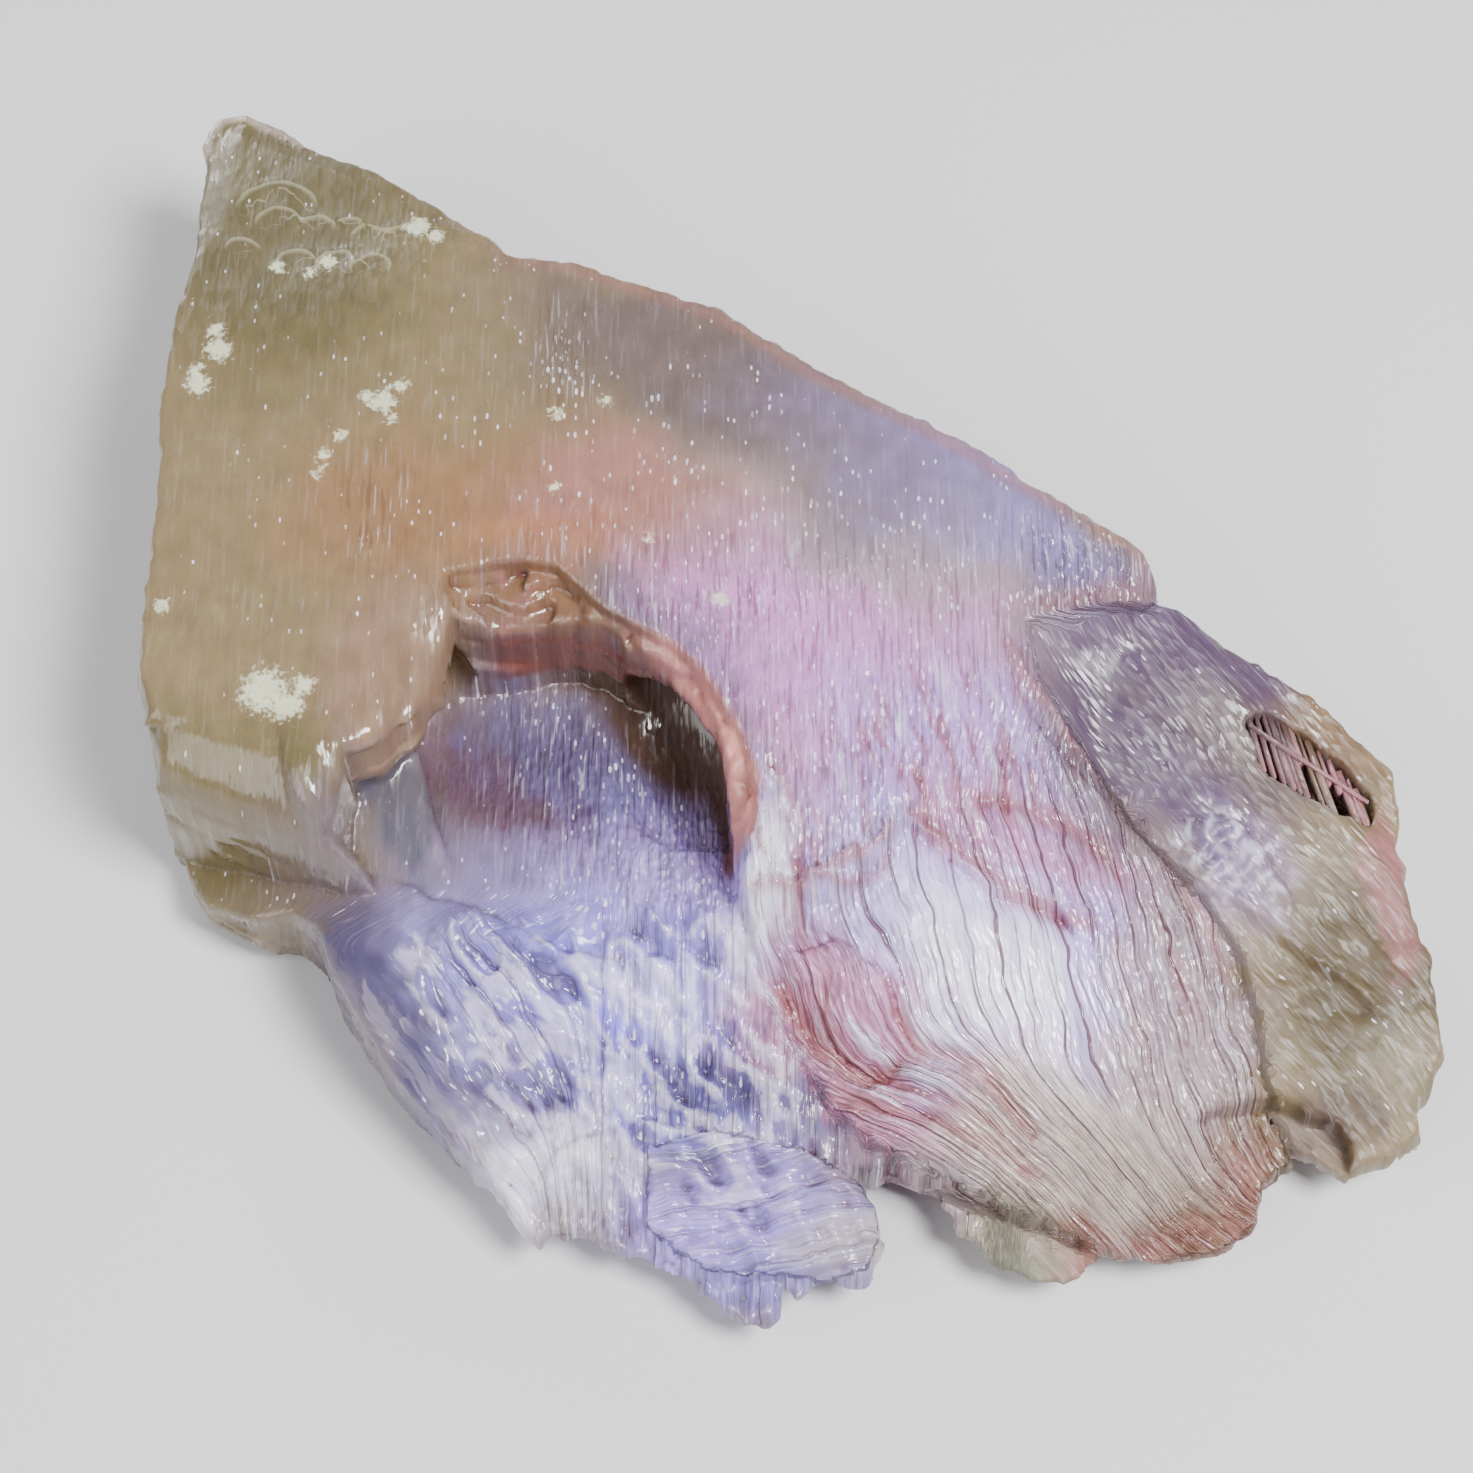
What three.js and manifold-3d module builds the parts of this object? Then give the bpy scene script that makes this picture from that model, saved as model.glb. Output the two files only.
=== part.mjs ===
// A selenite crystal: one broken and partly dissolved blade of gypsum, lying on its cleavage face.
// Millimetres, +Z up. The origin is under the middle of the crystal, on the surface it lies on.
// +Y runs along the crystal's c axis, which its striations follow, towards the acute tip.
//
// The solid is a stack of cleavage sheets. Each sheet is a block with a relief on top, cut to its
// outline; the blocks are joined, and then the underside, the dissolved hollow and the slots are cut.

import * as THREE from 'three';
import { mergeVertices } from 'three/addons/utils/BufferGeometryUtils.js';
import Module from 'manifold-3d';

const { smoothstep, clamp, degToRad } = THREE.MathUtils;

// ---- Driving dimensions -------------------------------------------------------------------------

const PLATEAU_Z = 20.5;            // height of the thick slab's cleavage face
const TIP_DROP = 1.8;              // the slab thins towards its acute tip
const RIGHT_FALL = 0.09;           // fall per millimetre towards the slab's right end
const RIGHT_FALL_FROM = 8;

const FAN_START = { x: 5, y: -14 };             // where the slab rolls over into the fluted fan
const FAN_DIRECTION = { x: 0.59, y: -0.81 };    // downhill along the fan's crest
const FAN_LENGTH = 37;
const FAN_DROP = 14.5;
const FAN_LEFT_ROUNDING = 0.04;
const FAN_RIGHT_ROUNDING = 0.011;

const FLUTE_PERIOD = 3.5;          // the fan's flutes, counted along the line y = FLUTES_FROM_Y
const FLUTE_DEPTH = 0.9;
const FLUTES_FROM_Y = -12;
const FLUTE_FOCUS = { x: 30, y: -66 };          // below FLUTES_FROM_Y the flutes run towards this point
const FLUTE_BEND = 0.014;                       // and below FLUTE_BEND_FROM_Y they turn to the right
const FLUTE_BEND_FROM_Y = -28;

const CREST_Y = -21;               // the sill between the hollow and the near wing
const CREST_Z = 11.8;
const HOLLOW_FLOOR_Z = 8.6;
const TRENCH_DEPTH = 4.5;          // the deepest part of the hollow, along the foot of its wall
const TRENCH_WIDTH = 2.6;
const APRON_SLOPE = 0.29;

const WING_Z = 17.2;               // the right wing at y = WING_FROM_Y
const WING_FROM_Y = 4;
const WING_SLOPE = 0.25;
const WING_BEVEL = 2.4;            // the fibrous band along its far edge slopes down by this much
const WING_RIB_SHEAR = 0.6;        // its ribs run down to the right, this far across per millimetre
const WING_RIB_DEPTH = 0.5;
const APRON_RIB_SHEAR = 0.8;
const APRON_RIB_DEPTH = 0.55;
const LEAST_EDGE_Z = 5.2;          // the top of the fan's thin lip

const UNDERSIDE_SLOPE = 0.42;      // the thin edges rise off the surface outside the footprint
const UNDERSIDE_RISE = 3.6;

const SLAB_CELL = 1.75;            // grid spacing: half a flute
const RIB_CELL = 2.2;              // half a rib of the wings
const PLAIN_CELL = 5;

// Dissolved undercuts, as ellipsoids: under the hollow's rim, and under the lobe on its left.
const UNDERCUTS = [
  { at: [-7.5, -6.5, 11.6], radii: [6.4, 8.2, 4.4], turn: degToRad(28) },
  { at: [-17, -1, 11.8], radii: [8.6, 4.4, 3.6], turn: degToRad(-8) },
  { at: [-25.5, -2.5, 12.2], radii: [4.2, 7.5, 3.8], turn: degToRad(24) },
];

// ---- Outlines, looking down, each a closed loop -------------------------------------------------

const MAIN = [
  // The far edge, from the tip to the slab's right end.
  [-46.5, 46.5], [-45.5, 48.5], [-44, 49], [-39, 46], [-34.5, 44], [-27.5, 39.5], [-23, 36],
  [-22, 34.5], [-16.5, 34], [-10.5, 31.5], [-5, 29], [1.5, 24.5], [9, 20], [15, 16.5],
  [21.5, 12], [27.5, 8], [28, 6.5], [28.7, 5.3], [27.7, 4],
  // Along the right wing, and round the fan's ragged lip.
  [23.5, 3], [18, 1.5], [19, -3.5], [23, -9], [27, -14.5], [31, -18.5], [33.5, -22.5],
  [34.5, -27], [35, -32], [36.5, -34], [37, -36.5], [35, -38], [34.5, -41], [32, -43],
  [26.5, -44], [23.5, -43.5], [18.5, -41.5], [13, -39.5], [8, -37], [6, -36.5],
  // Up the fan's left side, and round the rim of the hollow.
  [3, -33], [1, -30], [-1, -26.5], [-2.5, -22], [-3, -20.5], [-2, -16], [-2, -12], [-3.5, -8],
  [-6, -3.5], [-8.5, -1], [-13.5, 2], [-17, 5.5], [-20, 6], [-25.5, 5],
  // The lobe that overhangs the hollow, the broken left flank, and the straight left side.
  [-25, 0.5], [-25.5, -4.5], [-28, -7], [-30, -9], [-32, -10], [-34, -9.5], [-35.5, -12],
  [-37, -10.5], [-42, -9], [-47, -7.5], [-47.5, -4], [-48, 2], [-47.5, 8], [-48, 20],
  [-47.5, 28], [-46.5, 34],
];

// Two thinner sheets that show as ledges inside the hollow's rim, and one along the slab's far side.
const RIM_STEP = [
  [-3, -19], [-2.8, -15.5], [-2.8, -12], [-4, -8.2], [-5.8, -5.2], [-9, -1.6], [-13.5, 1.2],
  [-16.8, 4], [-20.5, 4.4], [-25.5, 3.4], [-28, 10], [-16, 11], [-4, 4], [1, -10], [-1, -20],
];

const RIM_LEDGE = [
  [-3.5, -18.5], [-3.5, -14.5], [-4.5, -10.5], [-5, -7.5], [-7.5, -4], [-10.5, -2], [-13.5, 0.5],
  [-16.5, 2], [-21.5, 2], [-25.5, 1], [-28, 8], [-16, 10], [-4, 3], [1, -10], [-1, -20],
];

const SIDE_LEDGE = [
  [-47.9, 2], [-48.5, 9], [-48.2, 17], [-48.4, 26], [-47.3, 35], [-47, 46], [-45.8, 48.6],
  [-43.5, 49], [-38, 46.9], [-32, 43.6], [-27, 41.2], [-21, 36.4], [-14, 34.4], [-8, 32.2],
  [-1, 27.6], [7, 22.8], [14, 18.6], [20, 14.2], [27, 9.6], [30, 5.5], [10, 5], [-30, 0],
];

const UPPER_TERRACE = [
  [-47.2, -4], [-47, -10.5], [-44, -12], [-38, -13], [-34, -15.5], [-32.5, -15], [-32, -12],
  [-32, -7],
];

const LOWER_TERRACE = [
  [-47.2, -4], [-47, -11], [-43.5, -12.5], [-40, -14], [-35.5, -16], [-32, -18], [-29, -20],
  [-27.5, -22.5], [-26, -20], [-28, -14], [-30, -8], [-33, -4],
];

const APRON = [
  [-47, 0], [-47.3, -9], [-45.5, -13.5], [-44, -16], [-40, -18], [-37, -18], [-35, -19.5],
  [-33.5, -23.5], [-29.5, -30], [-24, -36.5], [-20.5, -40], [-18, -43], [-17.5, -41.5],
  [-13.5, -42.5], [-13, -43.5], [-8, -44], [-6, -46], [-3, -49], [-0.5, -48.3], [0, -46],
  [1, -46.7], [2, -45.5], [6, -45.7], [7, -43], [6.5, -40.5], [4, -38], [6, -38], [12, -35],
  [12, -10], [5, 4], [-10, 10], [-30, 10], [-40, 2],
];

const NEAR_LEAF = [
  [-10, -36.5], [-5, -35.5], [1, -37], [5, -39], [6.5, -40.7], [6.8, -43], [5.8, -45.4],
  [1, -45.6], [-6, -45], [-10, -42],
];

const RIGHT_WING = [
  [28, 4.5], [31, 3], [36, -0.5], [37, -1], [41.5, -4.5], [45.5, -9], [46, -14.5], [46.7, -15.7],
  [46, -16.2], [47, -20], [48, -22.5], [48, -24.5], [48.5, -29], [47.5, -32], [46.3, -33],
  [46.5, -35], [43.5, -37], [41.5, -37.5], [41.7, -36], [40.5, -34.5], [36, -32.5], [30, -34],
  [20, -20], [12, -6], [16, 8],
];

const LIP_PLATE = [
  [5, -35], [8, -36.5], [14, -39.5], [15, -42], [16, -44], [18.5, -45], [21, -45], [22.5, -43],
  [26, -42], [26, -36], [12, -33],
];

const WING_PLATE = [
  [35, -31], [37, -35], [40, -37], [41.3, -38], [42, -36], [44, -32], [38, -28],
];

const FOOTPRINT = [
  [-43, 42], [-22, 31], [22, 8], [30, -8], [39, -22], [29, -34], [9, -31], [-14, -34],
  [-28, -25], [-43, -9],
];

const HOLLOW_WALL_FOOT = [[-12, 0], [-8.5, -3.5], [-6, -8.5], [-4.8, -13]];

// The see-through slots along the right wing's bevelled edge: a row of narrow cuts.
const SLOT_ROW_START = { x: 35.8, y: -4.6 };
const SLOT_ROW_END = { x: 42.6, y: -9.6 };
const SLOT_COUNT = 6;
const SLOT_WIDTH = 0.7;
const SLOT_LENGTH = 3.2;
const SLOT_DEPTH = 5;
const SLOT_TURN = degToRad(28);

// ---- Relief: the height of each sheet's upper face ----------------------------------------------

// Low waves that no natural cleavage face is without.
function wobble(x, y) {
  return 0.22 * Math.sin(0.31 * x + 0.12 * y) + 0.16 * Math.sin(0.17 * x - 0.43 * y + 1.3);
}

function distanceToPath(path, x, y, closed) {
  let nearest = Infinity;
  const last = closed ? path.length : path.length - 1;
  for (let i = 0; i < last; i++) {
    const [ax, ay] = path[i];
    const [bx, by] = path[(i + 1) % path.length];
    const along = ((x - ax) * (bx - ax) + (y - ay) * (by - ay)) / ((bx - ax) ** 2 + (by - ay) ** 2);
    const t = clamp(along, 0, 1);
    nearest = Math.min(nearest, Math.hypot(x - ax - t * (bx - ax), y - ay - t * (by - ay)));
  }
  return nearest;
}

function isInside(outline, x, y) {
  let inside = false;
  outline.forEach(([ax, ay], i) => {
    const [bx, by] = outline[(i + 1) % outline.length];
    if (ay > y !== by > y && x < ax + ((y - ay) * (bx - ax)) / (by - ay)) inside = !inside;
  });
  return inside;
}

// The fan's flutes keep straight down to FLUTES_FROM_Y. Below it they close in on the focus, and bend.
// fluteX gives the x at which the flute through a point starts; alongFlute is its inverse.
const fluteClosing = (y) => Math.min(
  (y - FLUTE_FOCUS.y) / (FLUTES_FROM_Y - FLUTE_FOCUS.y),
  1,
);
const fluteBend = (y) => FLUTE_BEND * Math.max(0, FLUTE_BEND_FROM_Y - y) ** 2;

const fluteX = (x, y) => FLUTE_FOCUS.x + (x - fluteBend(y) - FLUTE_FOCUS.x) / fluteClosing(y);
const alongFlute = (u, y) => FLUTE_FOCUS.x + (u - FLUTE_FOCUS.x) * fluteClosing(y) + fluteBend(y);

// Ribs that run down to the right across the wings, and their inverse.
const ribX = (x, y, shear) => x + shear * y;
const alongWingRib = (u, y) => u - WING_RIB_SHEAR * y;
const alongApronRib = (u, y) => u - APRON_RIB_SHEAR * y;

// A ridge from -1/2 to 1/2: straight-sided, with its crests at whole numbers.
const ridge = (phase) => 0.5 - Math.abs(phase - Math.round(phase)) * 2;

function mainTop(x, y) {
  const slab = PLATEAU_Z - TIP_DROP * smoothstep(y, 30, 49)
    - RIGHT_FALL * Math.max(0, x - RIGHT_FALL_FROM);
  const dx = x - FAN_START.x;
  const dy = y - FAN_START.y;
  const along = dx * FAN_DIRECTION.x + dy * FAN_DIRECTION.y;
  const across = -dx * FAN_DIRECTION.y + dy * FAN_DIRECTION.x;
  const roll = FAN_DROP * (Math.max(0, along) / FAN_LENGTH) ** 1.6;
  const rounding = across < 0 ? FAN_LEFT_ROUNDING : FAN_RIGHT_ROUNDING;
  const sides = rounding * across ** 2 * smoothstep(along, -4, 8);
  const start = fluteX(x, y);
  const unevenness = 0.75 + 0.35 * Math.sin(0.9 * start) + 0.2 * Math.sin(0.35 * y);
  const fluted = smoothstep(along, -4, 8) * (1 - 0.6 * smoothstep(along, 28, 37));
  const flutes = FLUTE_DEPTH * unevenness * fluted * ridge(start / FLUTE_PERIOD);
  return Math.max(slab - roll - sides, LEAST_EDGE_Z) + flutes + wobble(x, y);
}

function apronTop(x, y) {
  const sill = CREST_Z + 2.6 * Math.exp(-((x + 4) ** 2 + (y + 21) ** 2) / 40);
  const floor = sill - (sill - HOLLOW_FLOOR_Z) * smoothstep(y, CREST_Y, -3);
  const foot = distanceToPath(HOLLOW_WALL_FOOT, x, y, false);
  const trench = TRENCH_DEPTH * Math.exp(-((foot / TRENCH_WIDTH) ** 2));
  const slope = APRON_SLOPE * Math.max(0, CREST_Y - y);
  const leftFall = 0.42 * Math.max(0, -31 - x);
  const ribbed = smoothstep(-y, 19, 27) * smoothstep(x + 0.35 * y, -38, -22);
  const unevenness = 0.7 + 0.3 * Math.sin(0.55 * x - 0.2 * y) + 0.25 * Math.sin(0.4 * y + 0.15 * x);
  const ribs = APRON_RIB_DEPTH * unevenness * ribbed
    * ridge(ribX(x, y, APRON_RIB_SHEAR) / (2 * RIB_CELL));
  return Math.max(floor - trench - slope - leftFall, 4.4) + ribs + wobble(x, y);
}

function wingTop(x, y) {
  const unevenness = 0.7 + 0.35 * Math.sin(0.5 * x + 0.3 * y);
  const ribs = WING_RIB_DEPTH * unevenness * smoothstep(-y, 7, 17)
    * ridge(ribX(x, y, WING_RIB_SHEAR) / (2 * RIB_CELL));
  const bevel = WING_BEVEL * smoothstep(x + 0.8 * y, 31.5, 36.5);
  return WING_Z + WING_SLOPE * (y - WING_FROM_Y) - bevel + ribs + wobble(x, y);
}

const rimStepTop = (x, y) => 18.9 + wobble(2 * x, 2 * y);
const rimLedgeTop = (x, y) => 17 + wobble(2 * x, 2 * y);
const sideLedgeTop = (x, y) => 12.5 - 0.1 * Math.max(0, x) + 1.5 * Math.sin(0.13 * x - 0.1 * y);
const upperTerraceTop = (x, y) => 16.6 + 0.08 * (y + 12) + wobble(2 * x, y);
const lowerTerraceTop = (x, y) => 12.8 + 0.1 * (y + 12) + wobble(2 * x, y);
const nearLeafTop = (x, y) => apronTop(x, y) + 0.9;
const lipPlateTop = (x, y) => 4.6 + 0.12 * (y + 40);
const wingPlateTop = () => 3.8;

// The underside is flat inside the footprint and rises outside it.
function undersideZ(x, y) {
  if (isInside(FOOTPRINT, x, y)) return 0;
  return Math.min(UNDERSIDE_SLOPE * distanceToPath(FOOTPRINT, x, y, true), UNDERSIDE_RISE);
}

// ---- Solids -------------------------------------------------------------------------------------

const wasm = await Module();
wasm.setup();

function solidOf(geometry) {
  const bare = geometry.clone();
  bare.deleteAttribute('normal');
  bare.deleteAttribute('uv');
  const merged = mergeVertices(bare, 1e-4);
  return new wasm.Manifold(new wasm.Mesh({
    numProp: 3,
    vertProperties: merged.getAttribute('position').array,
    triVerts: new Uint32Array(merged.index.array),
  }));
}

function geometryOf(solid) {
  const mesh = solid.getMesh();
  const geometry = new THREE.BufferGeometry();
  geometry.setAttribute('position', new THREE.BufferAttribute(mesh.vertProperties, 3));
  geometry.setIndex(new THREE.BufferAttribute(mesh.triVerts, 1));
  geometry.computeVertexNormals();
  return geometry;
}

function boundsOf(outline) {
  const box = new THREE.Box2();
  outline.forEach(([x, y]) => box.expandByPoint(new THREE.Vector2(x, y)));
  return box;
}

// A block over a rectangle, whose upper face follows top(x, y) and whose lower face is flat.
function reliefBlock({ box, cell, top, floorZ, lean = (u) => u }) {
  const size = box.getSize(new THREE.Vector2());
  const middle = box.getCenter(new THREE.Vector2());
  const columns = Math.round(size.x / cell);
  const rows = Math.ceil(size.y / cell);
  const geometry = new THREE.BoxGeometry(size.x, size.y, 1, columns, rows, 1);
  const position = geometry.getAttribute('position');
  for (let i = 0; i < position.count; i++) {
    const y = position.getY(i) + middle.y;
    const x = lean(position.getX(i) + middle.x, y);
    position.setXYZ(i, x, y, position.getZ(i) > 0 ? top(x, y) : floorZ);
  }
  return solidOf(geometry);
}

function prism(outline, height) {
  const shape = new THREE.Shape(outline.map(([x, y]) => new THREE.Vector2(x, y)));
  return solidOf(new THREE.ExtrudeGeometry(shape, { depth: height, bevelEnabled: false }));
}

// One cleavage sheet: a relief block cut to its outline. Its grid lies on whole multiples of the cell,
// so that flutes and ribs two cells apart keep their crests; reach widens the grid for its lean.
function sheet({ outline, top, cell, lean, reach = [0, 0] }) {
  const box = boundsOf(outline);
  box.min.x = cell * Math.floor((box.min.x + reach[0]) / cell - 1);
  box.max.x = cell * Math.ceil((box.max.x + reach[1]) / cell + 1);
  box.min.y -= cell;
  box.max.y += cell;
  return reliefBlock({ box, cell, top, floorZ: -1, lean }).intersect(prism(outline, 30));
}

function undercuts() {
  return UNDERCUTS.map(({ at, radii, turn }) => {
    const geometry = new THREE.SphereGeometry(1, 16, 10);
    geometry.scale(...radii);
    geometry.rotateZ(turn);
    geometry.translate(...at);
    return solidOf(geometry);
  });
}

function slots() {
  const cutters = [];
  for (let i = 0; i < SLOT_COUNT; i++) {
    const t = i / (SLOT_COUNT - 1);
    const x = THREE.MathUtils.lerp(SLOT_ROW_START.x, SLOT_ROW_END.x, t);
    const y = THREE.MathUtils.lerp(SLOT_ROW_START.y, SLOT_ROW_END.y, t);
    const geometry = new THREE.BoxGeometry(SLOT_WIDTH, SLOT_LENGTH, SLOT_DEPTH);
    geometry.rotateZ(SLOT_TURN);
    geometry.translate(x, y, wingTop(x, y));
    cutters.push(solidOf(geometry));
  }
  return cutters;
}

function crystal() {
  const sheets = [
    sheet({ outline: MAIN, top: mainTop, cell: SLAB_CELL, lean: alongFlute, reach: [-40, 20] }),
    sheet({ outline: RIM_STEP, top: rimStepTop, cell: PLAIN_CELL }),
    sheet({ outline: RIM_LEDGE, top: rimLedgeTop, cell: PLAIN_CELL }),
    sheet({ outline: SIDE_LEDGE, top: sideLedgeTop, cell: PLAIN_CELL }),
    sheet({ outline: UPPER_TERRACE, top: upperTerraceTop, cell: PLAIN_CELL }),
    sheet({ outline: LOWER_TERRACE, top: lowerTerraceTop, cell: PLAIN_CELL }),
    sheet({ outline: APRON, top: apronTop, cell: RIB_CELL, lean: alongApronRib, reach: [-40, 10] }),
    sheet({ outline: NEAR_LEAF, top: nearLeafTop, cell: RIB_CELL, lean: alongApronRib, reach: [-40, 10] }),
    sheet({ outline: RIGHT_WING, top: wingTop, cell: RIB_CELL, lean: alongWingRib, reach: [-24, 6] }),
    sheet({ outline: LIP_PLATE, top: lipPlateTop, cell: PLAIN_CELL }),
    sheet({ outline: WING_PLATE, top: wingPlateTop, cell: PLAIN_CELL }),
  ];
  const underside = reliefBlock({
    box: boundsOf([...MAIN, ...APRON, ...RIGHT_WING]).expandByScalar(PLAIN_CELL),
    cell: 4,
    top: undersideZ,
    floorZ: -5,
  });
  let solid = sheets[0];
  for (const next of sheets.slice(1)) solid = solid.add(next);
  for (const cut of [underside, ...undercuts(), ...slots()]) solid = solid.subtract(cut);
  return solid;
}

const selenite = new THREE.MeshStandardMaterial({ color: 0xd6b09a, roughness: 0.35, metalness: 0 });
const mesh = new THREE.Mesh(geometryOf(crystal()), selenite);
mesh.name = 'selenite_crystal';

const group = new THREE.Group();
group.add(mesh);

export default group;
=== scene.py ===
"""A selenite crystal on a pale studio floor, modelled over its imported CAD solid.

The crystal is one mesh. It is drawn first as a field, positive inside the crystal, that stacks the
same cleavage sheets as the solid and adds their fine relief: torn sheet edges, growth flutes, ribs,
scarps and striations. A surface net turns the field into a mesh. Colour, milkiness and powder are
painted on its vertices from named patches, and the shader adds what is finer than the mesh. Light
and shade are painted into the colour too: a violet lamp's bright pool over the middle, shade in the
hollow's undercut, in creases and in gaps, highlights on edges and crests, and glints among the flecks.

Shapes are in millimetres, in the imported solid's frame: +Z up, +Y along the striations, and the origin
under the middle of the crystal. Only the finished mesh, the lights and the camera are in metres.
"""

import math

import bpy
import numpy as np
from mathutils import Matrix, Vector


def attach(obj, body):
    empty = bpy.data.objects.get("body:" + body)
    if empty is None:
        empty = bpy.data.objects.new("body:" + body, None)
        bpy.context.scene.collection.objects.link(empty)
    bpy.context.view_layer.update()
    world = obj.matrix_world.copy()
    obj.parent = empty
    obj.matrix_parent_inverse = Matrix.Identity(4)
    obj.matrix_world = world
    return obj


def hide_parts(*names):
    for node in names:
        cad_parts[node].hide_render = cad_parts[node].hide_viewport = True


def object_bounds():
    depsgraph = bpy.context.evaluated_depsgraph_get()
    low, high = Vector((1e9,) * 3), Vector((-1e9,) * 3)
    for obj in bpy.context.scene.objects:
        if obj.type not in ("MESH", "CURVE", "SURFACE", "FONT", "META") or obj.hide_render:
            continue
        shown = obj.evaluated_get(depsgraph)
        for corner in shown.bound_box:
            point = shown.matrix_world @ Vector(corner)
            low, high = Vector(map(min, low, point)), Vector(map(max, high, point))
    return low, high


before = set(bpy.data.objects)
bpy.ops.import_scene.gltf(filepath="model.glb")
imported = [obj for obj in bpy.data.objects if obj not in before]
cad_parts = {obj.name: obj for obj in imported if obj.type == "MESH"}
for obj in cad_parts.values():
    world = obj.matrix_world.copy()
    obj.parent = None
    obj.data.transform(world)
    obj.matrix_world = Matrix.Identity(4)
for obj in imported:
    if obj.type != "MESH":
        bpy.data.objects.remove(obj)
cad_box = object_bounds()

MM = 0.001
NODE = "selenite_crystal"

# ---- Driving dimensions, in millimetres ----

VOXEL = 0.27              # spacing of the field's points
MOST_TRIANGLES = 190_000
SMOOTHING = 0.3           # share of the way to its neighbours' mean that each vertex moves
# Edges and swells show in the colour as painted light and shade: paler on edges and crests, darker in
# creases and hollows.
EDGE_HEIGHT = 0.1         # how far out a fine edge and a broad swell stand to show fully in the colour
SWELL_HEIGHT = 0.5

PLATEAU_Z = 20.5          # the thick slab's cleavage face
TIP_DROP = 0.9
RIGHT_FALL = 0.09
RIGHT_FALL_FROM = 8

FAN_START = (5, -14)      # where the slab rolls over into the fluted fan
FAN_DIRECTION = (0.59, -0.81)
FAN_LENGTH = 37
FAN_DROP = 14.5
LEAST_EDGE_Z = 5.2

FLUTE_PERIOD = 2.0
MAIN_GROWTH = 0.3         # the fine mesh's edges stand this far outside the solid's
SHEET_GROWTH = 0.12

CREST_Y = -21             # the sill between the hollow and the near wing
CREST_Z = 11.8
HOLLOW_FLOOR_Z = 8.6
APRON_SLOPE = 0.29

WING_Z = 17.2             # the right wing at y = WING_FROM_Y
WING_FROM_Y = 4
WING_SLOPE = 0.25
WING_BEVEL = 1.6

PLATE_Z = 5.2             # the thin plates under the fan's lip and in the right wing's notch

UNDERSIDE_SLOPE = 0.42
UNDERSIDE_RISE = 3.6

RIM_FROM = 15.6           # the height where the hollow's wall turns into its rim
LAMINA = 1.25             # mean thickness of the cleavage sheets that show in broken edges

BAR_COUNT = 14            # fibres that still bridge the window in the right wing's bevelled edge
BAR_WIDTH = 0.3
BAR_HEIGHT = 1.3
BAR_LEAN = math.radians(14)
BROKEN_END = -0.1         # where a broken bar stops, past the window's middle
BROKEN_BARS = (6, 9, 10)
WINDOW_DEPTH = 3.4

# ---- Outlines of the sheets, looking down ----

MAIN = [
    (-46.5, 46.5), (-45.5, 48.5), (-44, 49), (-39, 46), (-34.5, 44), (-27.5, 39.5), (-23, 36),
    (-22, 34.5), (-16.5, 34), (-10.5, 31.5), (-5, 29), (1.5, 24.5), (9, 20), (15, 16.5),
    (21.5, 12), (27.5, 8), (28, 6.5), (28.7, 5.3), (27.7, 4),
    (23.5, 3), (18, 1.5), (19, -3.5), (23, -9), (27, -14.5), (31, -18.5), (33.5, -22.5),
    (34.5, -27), (35, -32), (36.5, -34), (37, -36.5), (35, -38), (34.5, -41), (32, -43),
    (26.5, -44), (23.5, -43.5), (18.5, -41.5), (13, -39.5), (8, -37), (6, -36.5),
    (3, -33), (1, -30), (-1, -26.5), (-2.5, -22), (-3, -20.5), (-2, -16), (-2, -12), (-3.5, -8),
    (-6, -3.5), (-8.5, -1), (-13.5, 2), (-17, 5.5), (-20, 6), (-25.5, 5),
    (-25, 0.5), (-25.5, -4.5), (-28, -7), (-30, -9), (-32, -10), (-34, -9.5), (-35.5, -12),
    (-37, -10.5), (-42, -9), (-47, -7.5), (-47.5, -4), (-48, 2), (-47.5, 8), (-48, 20),
    (-47.5, 28), (-46.5, 34),
]

RIM_SHELF = [
    (-3.4, -19), (-3.8, -16), (-3.9, -12.5), (-4.5, -10), (-5.1, -7.6), (-6.7, -4.4), (-9.2, -1.5),
    (-11.5, -0.4), (-13.5, 1.1), (-15.5, 1.7), (-21.5, 1.6), (-25.8, 2), (-28, 10), (-16, 11), (-4, 4),
    (1, -10), (-1, -20),
]

SIDE_LEDGE = [
    (-47.9, 2), (-48.5, 9), (-48.2, 17), (-48.4, 26), (-47.3, 35), (-47, 46), (-45.8, 48.6),
    (-43.5, 49), (-38, 46.9), (-32, 43.6), (-27, 41.2), (-21, 36.4), (-14, 34.4), (-8, 32.2),
    (-1, 27.6), (7, 22.8), (14, 18.6), (20, 14.2), (27, 9.6), (30, 5.5), (10, 5), (-30, 0),
]

SHOULDER = [
    (-47.3, -3), (-47, -11), (-43.5, -12.7), (-40, -14.2), (-35.5, -16.4), (-32, -18), (-29, -20),
    (-27.5, -22.5), (-26.5, -21), (-30.5, -16.5), (-32.2, -15), (-32, -10), (-32, -5),
]

TONGUE = [
    (-37.5, -7), (-37.2, -11), (-36.2, -14), (-34.6, -15.7), (-33.1, -15.6), (-32.4, -12), (-31.8, -7.5),
    (-33, -5),
]

APRON = [
    (-47, 0), (-47.3, -9), (-45.5, -13.5), (-44, -16), (-40, -18), (-37, -18), (-35, -19.5),
    (-33.5, -23.5), (-29.5, -30), (-24, -36.5), (-20.5, -40), (-18, -43), (-17.5, -41.5),
    (-13.5, -42.5), (-13, -43.5), (-8, -44), (-6, -46), (-3, -49), (-0.5, -48.3), (0, -46),
    (1, -46.7), (2, -45.5), (6, -45.7), (7, -43), (6.5, -40.5), (4, -38), (6, -38), (12, -35),
    (12, -10), (5, 4), (-10, 10), (-30, 10), (-40, 2),
]

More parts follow.
